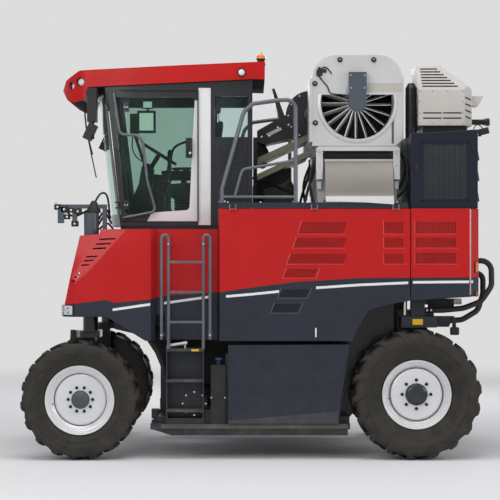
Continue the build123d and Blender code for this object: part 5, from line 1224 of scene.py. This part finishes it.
# Lamps: oval work lamps with white lenses in deep dark bezels along the roof edge, and an amber beacon
# on a black rubber foot. A thin whip aerial stands beside it.
clear_lens = lens_material("clear_lens", (0.74, 0.77, 0.8), roughness=0.06)
LAMPS = (
    # lamp's back, its front, radius
    ((-1.8, 0.6, 3.525), (-1.88, 0.64, 3.525), 0.038),
    ((-1.76, 0.65, 3.582), (-1.838, 0.715, 3.582), 0.038),
    ((-1.7, 0.69, 3.618), (-1.745, 0.778, 3.618), 0.044),
    ((-0.169, 0.74, 3.708), (-0.169, 0.8, 3.708), 0.04),
)
lamp_parts = []
for back, front, radius in LAMPS:
    for side in (-1, 1):
        start = Vector((back[0], side * back[1], back[2]))
        end = Vector((front[0], side * front[1], front[2]))
        bezel = spun([(radius * 0.72, 0), (radius, 0.004), (radius, 0.062), (radius * 0.94, 0.072),
                      (radius * 0.8, 0.07), (radius * 0.78, 0.06), (0, 0.058), (0, 0)],
                     start, end - start, 32, closed=False)
        lens = spun([(0, 0.071), (radius * 0.5, 0.069), (radius * 0.78, 0.064), (radius * 0.78, 0.056),
                     (0, 0.056)], start, end - start, 32, closed=False, slot=1)
        lamp_parts.extend((bezel, lens))
lamp_piece = make_piece("roof_lamps", "chassis", lamp_parts, black_plastic, clear_lens)
BEACON = (0.02, -0.6)
beacon_foot = spun([(0, 3.798), (0.046, 3.798), (0.044, 3.812), (0.036, 3.822), (0.036, 3.848),
                    (0.0485, 3.852), (0.0485, 3.858), (0, 3.858)], (*BEACON, 0), (0, 0, 1), 40, closed=False)
beacon_dome = spun([(0, 3.9035), (0.026, 3.902), (0.04, 3.895), (0.0455, 3.88), (0.0465, 3.858),
                    (0, 3.858)], (*BEACON, 0), (0, 0, 1), 40, closed=False, slot=1)
make_piece("beacon", "chassis", [beacon_foot, beacon_dome], black_rubber,
           lens_material("beacon_lens", (0.8, 0.2, 0.006)))
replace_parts(lamp_piece, "lamps")
lines("aerial", "chassis", 0.0028, black_rubber, [[(0.035, -0.56, 3.78), (0.036, -0.56, 3.86),
                                                   (0.026, -0.56, 3.93)]])

# Mirrors: a wide upper one and a small tilted lower one on a bent tube arm, with plain black moulded backs,
# clamped to the roof's front corner.
dress(black_plastic, "mirrors")

# Driver's seat: black woven cloth over foam on a bellows-covered air spring. Each cushion is a soft form
# swollen by its foam.


def woven_cloth():
    """Black upholstery weave with a flat sheen and lighter threads."""
    made, nodes, links = new_material("woven_cloth", "fabric")
    place = add_node(nodes, "TexCoord")
    crossed = add_node(nodes, "Math", operation="MULTIPLY_ADD")
    for number, direction in enumerate(("X", "Z", "Y")):
        threads = add_node(nodes, "TexWave", {"Scale": 150, "Distortion": 0.6}, bands_direction=direction)
        wire(links, (place, "Object", threads, "Vector"), (threads, "Fac", crossed, number))
    patterned(nodes, links, (crossed, 0), (0.014, 0.015, 0.017), (0.04, 0.043, 0.048),
              {"Strength": 0.5, "Distance": 0.0008}, {"Roughness": 0.85, "Sheen Weight": 0.35})
    return made


PAD_GRID, PAD_PRESSURE, PAD_FRAMES = 0.009, 4, 20


def stuffed(name, body, shape, material, cap):
    """A soft cushion: its cut shape is remeshed, swollen as cloth under pressure and smoothed."""
    data = bpy.data.meshes.new(name)
    shape.to_mesh(data)
    shape.free()
    made = bpy.data.objects.new(name, data)
    scene.collection.objects.link(made)
    grid = made.modifiers.new("even_grid", "REMESH")
    grid.mode = "VOXEL"
    grid.voxel_size = PAD_GRID
    bpy.context.view_layer.update()
    made.data = bpy.data.meshes.new_from_object(made.evaluated_get(bpy.context.evaluated_depsgraph_get()))
    made.modifiers.clear()
    before = [vert.co.copy() for vert in made.data.vertices]
    cloth = made.modifiers.new("cloth", "CLOTH")
    cloth.settings.use_pressure = True
    cloth.settings.uniform_pressure_force = PAD_PRESSURE
    cloth.settings.effector_weights.gravity = 0
    for number in range(1, PAD_FRAMES + 1):
        scene.frame_set(number)
    swollen = bpy.data.meshes.new_from_object(made.evaluated_get(bpy.context.evaluated_depsgraph_get()))
    made.modifiers.clear()
    for vert, start in zip(swollen.vertices, before):
        move = vert.co - start
        if move.length > cap:
            vert.co = start + move.normalized() * cap
    made.data = swollen
    scene.frame_set(1)
    made.data.materials.clear()
    made.data.materials.append(material)
    made.data.shade_smooth()
    finer = made.modifiers.new("finer", "SUBSURF")
    finer.levels = 1
    finer.render_levels = 1
    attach(made, body)


cloth_black = woven_cloth()
SEAT_PADS = (
    # name, low corner, high corner, lean about Y in degrees, swell
    ("seat_cushion", (-0.935, -0.235, 2.545), (-0.47, 0.235, 2.64), -3, 0.02),
    ("seat_back", (-0.5, -0.215, 2.69), (-0.415, 0.215, 3.29), 8, 0.02),
    ("seat_headrest", (-0.432, -0.11, 3.36), (-0.385, 0.11, 3.465), 0, 0.012),
)
for name, low, high, lean, swell in SEAT_PADS:
    block = bar(low, high, 0.03, segments=3)
    turned(block, lean, "Y", (Vector(low) + Vector(high)) / 2)
    stuffed(name, "chassis", block, cloth_black, swell)
BELLOWS_FOLDS, BELLOWS_Z0, BELLOWS_PITCH, SEAT_LEAN = 7, 2.29, 0.032, 8
bellows = []
for number in range(BELLOWS_FOLDS):
    z = BELLOWS_Z0 + number * BELLOWS_PITCH
    bellows.append(bar((-0.85, -0.21, z), (-0.49, 0.21, z + 0.028), 0.012, segments=3))
back_shell = bar((-0.455, -0.19, 2.56), (-0.405, 0.19, 3.28), 0.016, segments=3, slot=1)
seat_parts = [
    *bellows,
    bar((-0.86, -0.22, 2.262), (-0.48, 0.22, 2.292), 0.006, slot=1),
    bar((-0.88, -0.2, 2.505), (-0.47, 0.2, 2.545), 0.01, slot=1),
    turned(back_shell, SEAT_LEAN, "Y", (-0.43, 0, 2.92)),
    *[rod((-0.4, y, 3.25), (-0.405, y, 3.4), 0.007, 12, slot=2) for y in (-0.06, 0.06)],
]
seat_base = make_piece("seat_base", "chassis", seat_parts, black_rubber, black_plastic, chrome)
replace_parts(seat_base, "driver_seat")

# Steering column and controls: moulded black console with a padded arm rest, a lever with buttons, and a
# screen on a short arm whose blank glass is lit pale.
dress(black_plastic, "steering_console")
screen_lit = finish("screen_lit", "lamp_plastic", (0.55, 0.62, 0.58), roughness=0.1, coat=0.3, dust=0,
                    uneven=0.05)
lit = next(node for node in screen_lit.node_tree.nodes if node.type == "BSDF_PRINCIPLED")
lit.inputs["Emission Color"].default_value = (0.8, 0.92, 0.84, 1)
lit.inputs["Emission Strength"].default_value = 0.75
controls = [
    bar((-1.215, -0.27, 3.152), (-1.03, -0.225, 3.378), 0.01, segments=3),
    bar((-1.192, -0.2725, 3.178), (-1.053, -0.2695, 3.352), 0.001, slot=1),
    rod((-1.18, -0.23, 3.25), (-1.23, -0.17, 3.23), 0.014, 12),
    plate([(-1.33, 2.262), (-0.93, 2.262), (-0.93, 2.69), (-1.01, 2.765), (-1.19, 2.78), (-1.33, 2.48)],
          0.42, 0.6, 0.012),
    plate([(-1.15, 2.262), (-0.96, 2.262), (-0.96, 2.56), (-1.06, 2.6), (-1.15, 2.52)], 0.2, 0.33,
          0.012),
    bar((-1.292, -0.193, 3.148), (-1.205, -0.186, 3.353)),
    bar((-1.168, -0.25, 3.395), (-1.055, -0.225, 3.48), 0.006),
    bar((-1.155, -0.2525, 3.408), (-1.068, -0.249, 3.468), 0.001, slot=1),
    rod((-1.11, -0.24, 3.372), (-1.11, -0.24, 3.398), 0.012, 12),
    rod((-0.935, 0.33, 2.8), (-0.925, 0.33, 2.9), 0.012, 16),
    spun([(0, 0), (0.022, 0.004), (0.03, 0.03), (0.026, 0.075), (0.03, 0.1), (0.022, 0.125), (0, 0.13)],
         (-0.925, 0.33, 2.89), (0.15, 0, 1), 24, closed=False),
]
BUTTONS, BUTTON_X0, BUTTON_PITCH = 6, -0.96, 0.05
for number in range(BUTTONS):
    x = BUTTON_X0 + number * BUTTON_PITCH
    controls.append(bar((x, 0.315, 2.798), (x + 0.026, 0.345, 2.808), slot=number % 2))
make_piece("controls", "chassis", controls, black_plastic, screen_lit)
stuffed("arm_rest_pad", "chassis", bar((-0.9, 0.312, 2.806), (-0.61, 0.368, 2.834), 0.012),
        cloth_black, 0.006)
lines("cab_wires", "chassis", 0.006, black_rubber,
      [[(-1.25, -0.15, 3.2), (-1.29, -0.12, 3.05), (-1.24, -0.08, 2.9), (-1.12, -0.04, 2.85)],
       [(-1.245, -0.16, 3.45), (-1.3, -0.16, 3.49), (-1.37, -0.2, 3.48)]])

# Row sensor in front of the cab: a blue-grey oil tank with a black conical filler beside it, and cast
# clamps on a pivoting arm, with their cables looped back to the cab's corner.
softened(bracket_blue, "sensor_unit", width=0.008, segments=3)
sensor_parts = [
    spun([(0, 0), (0.066, 0), (0.066, 0.03), (0.05, 0.06), (0.03, 0.105), (0.016, 0.118), (0, 0.118)],
         (-1.585, -1.0, 2.338), (0, 0, 1), 32, closed=False),
    rod((-1.64, -1.0, 2.338), (-1.64, -1.0, 2.352), 0.024, round=0.003),
]
for x, z, size in ((-1.93, 2.395, 0.034), (-1.868, 2.372, 0.04), (-1.8, 2.365, 0.03), (-1.736, 2.352, 0.036),
                   (-1.766, 2.235, 0.034), (-1.84, 2.3, 0.028)):
    sensor_parts.append(bar((x - size, -1.03, z - size * 0.8), (x + size, -0.97, z + size * 0.8), 0.008))
    sensor_parts += studs([(x, z)], -1.029, -1.04, 0.011)
    sensor_parts.append(rod((x - size * 0.6, -1.0, z + size * 0.6), (x - size * 0.6, -1.0, z + size * 1.25),
                            0.008, 8, slot=1))
make_piece("sensor_clamps", "chassis", sensor_parts, black_plastic, bolt_steel)
lines("sensor_cables", "chassis", 0.01, black_rubber, [
    [(-1.575, -0.99, 2.44), (-1.54, -0.98, 2.52), (-1.48, -0.95, 2.54), (-1.45, -0.91, 2.47),
     (-1.445, -0.86, 2.33)],
    [(-1.56, -0.96, 2.2), (-1.5, -0.95, 2.3), (-1.46, -0.91, 2.4), (-1.44, -0.84, 2.29)],
    [(-1.55, -0.95, 2.26), (-1.5, -0.93, 2.38), (-1.455, -0.88, 2.3), (-1.43, -0.82, 2.24)],
    [(-1.54, -0.93, 2.18), (-1.47, -0.91, 2.26), (-1.42, -0.86, 2.2), (-1.39, -0.8, 2.15)],
    [(-1.85, -0.99, 2.36), (-1.8, -1.0, 2.29), (-1.7, -0.99, 2.33), (-1.64, -0.96, 2.37)],
])
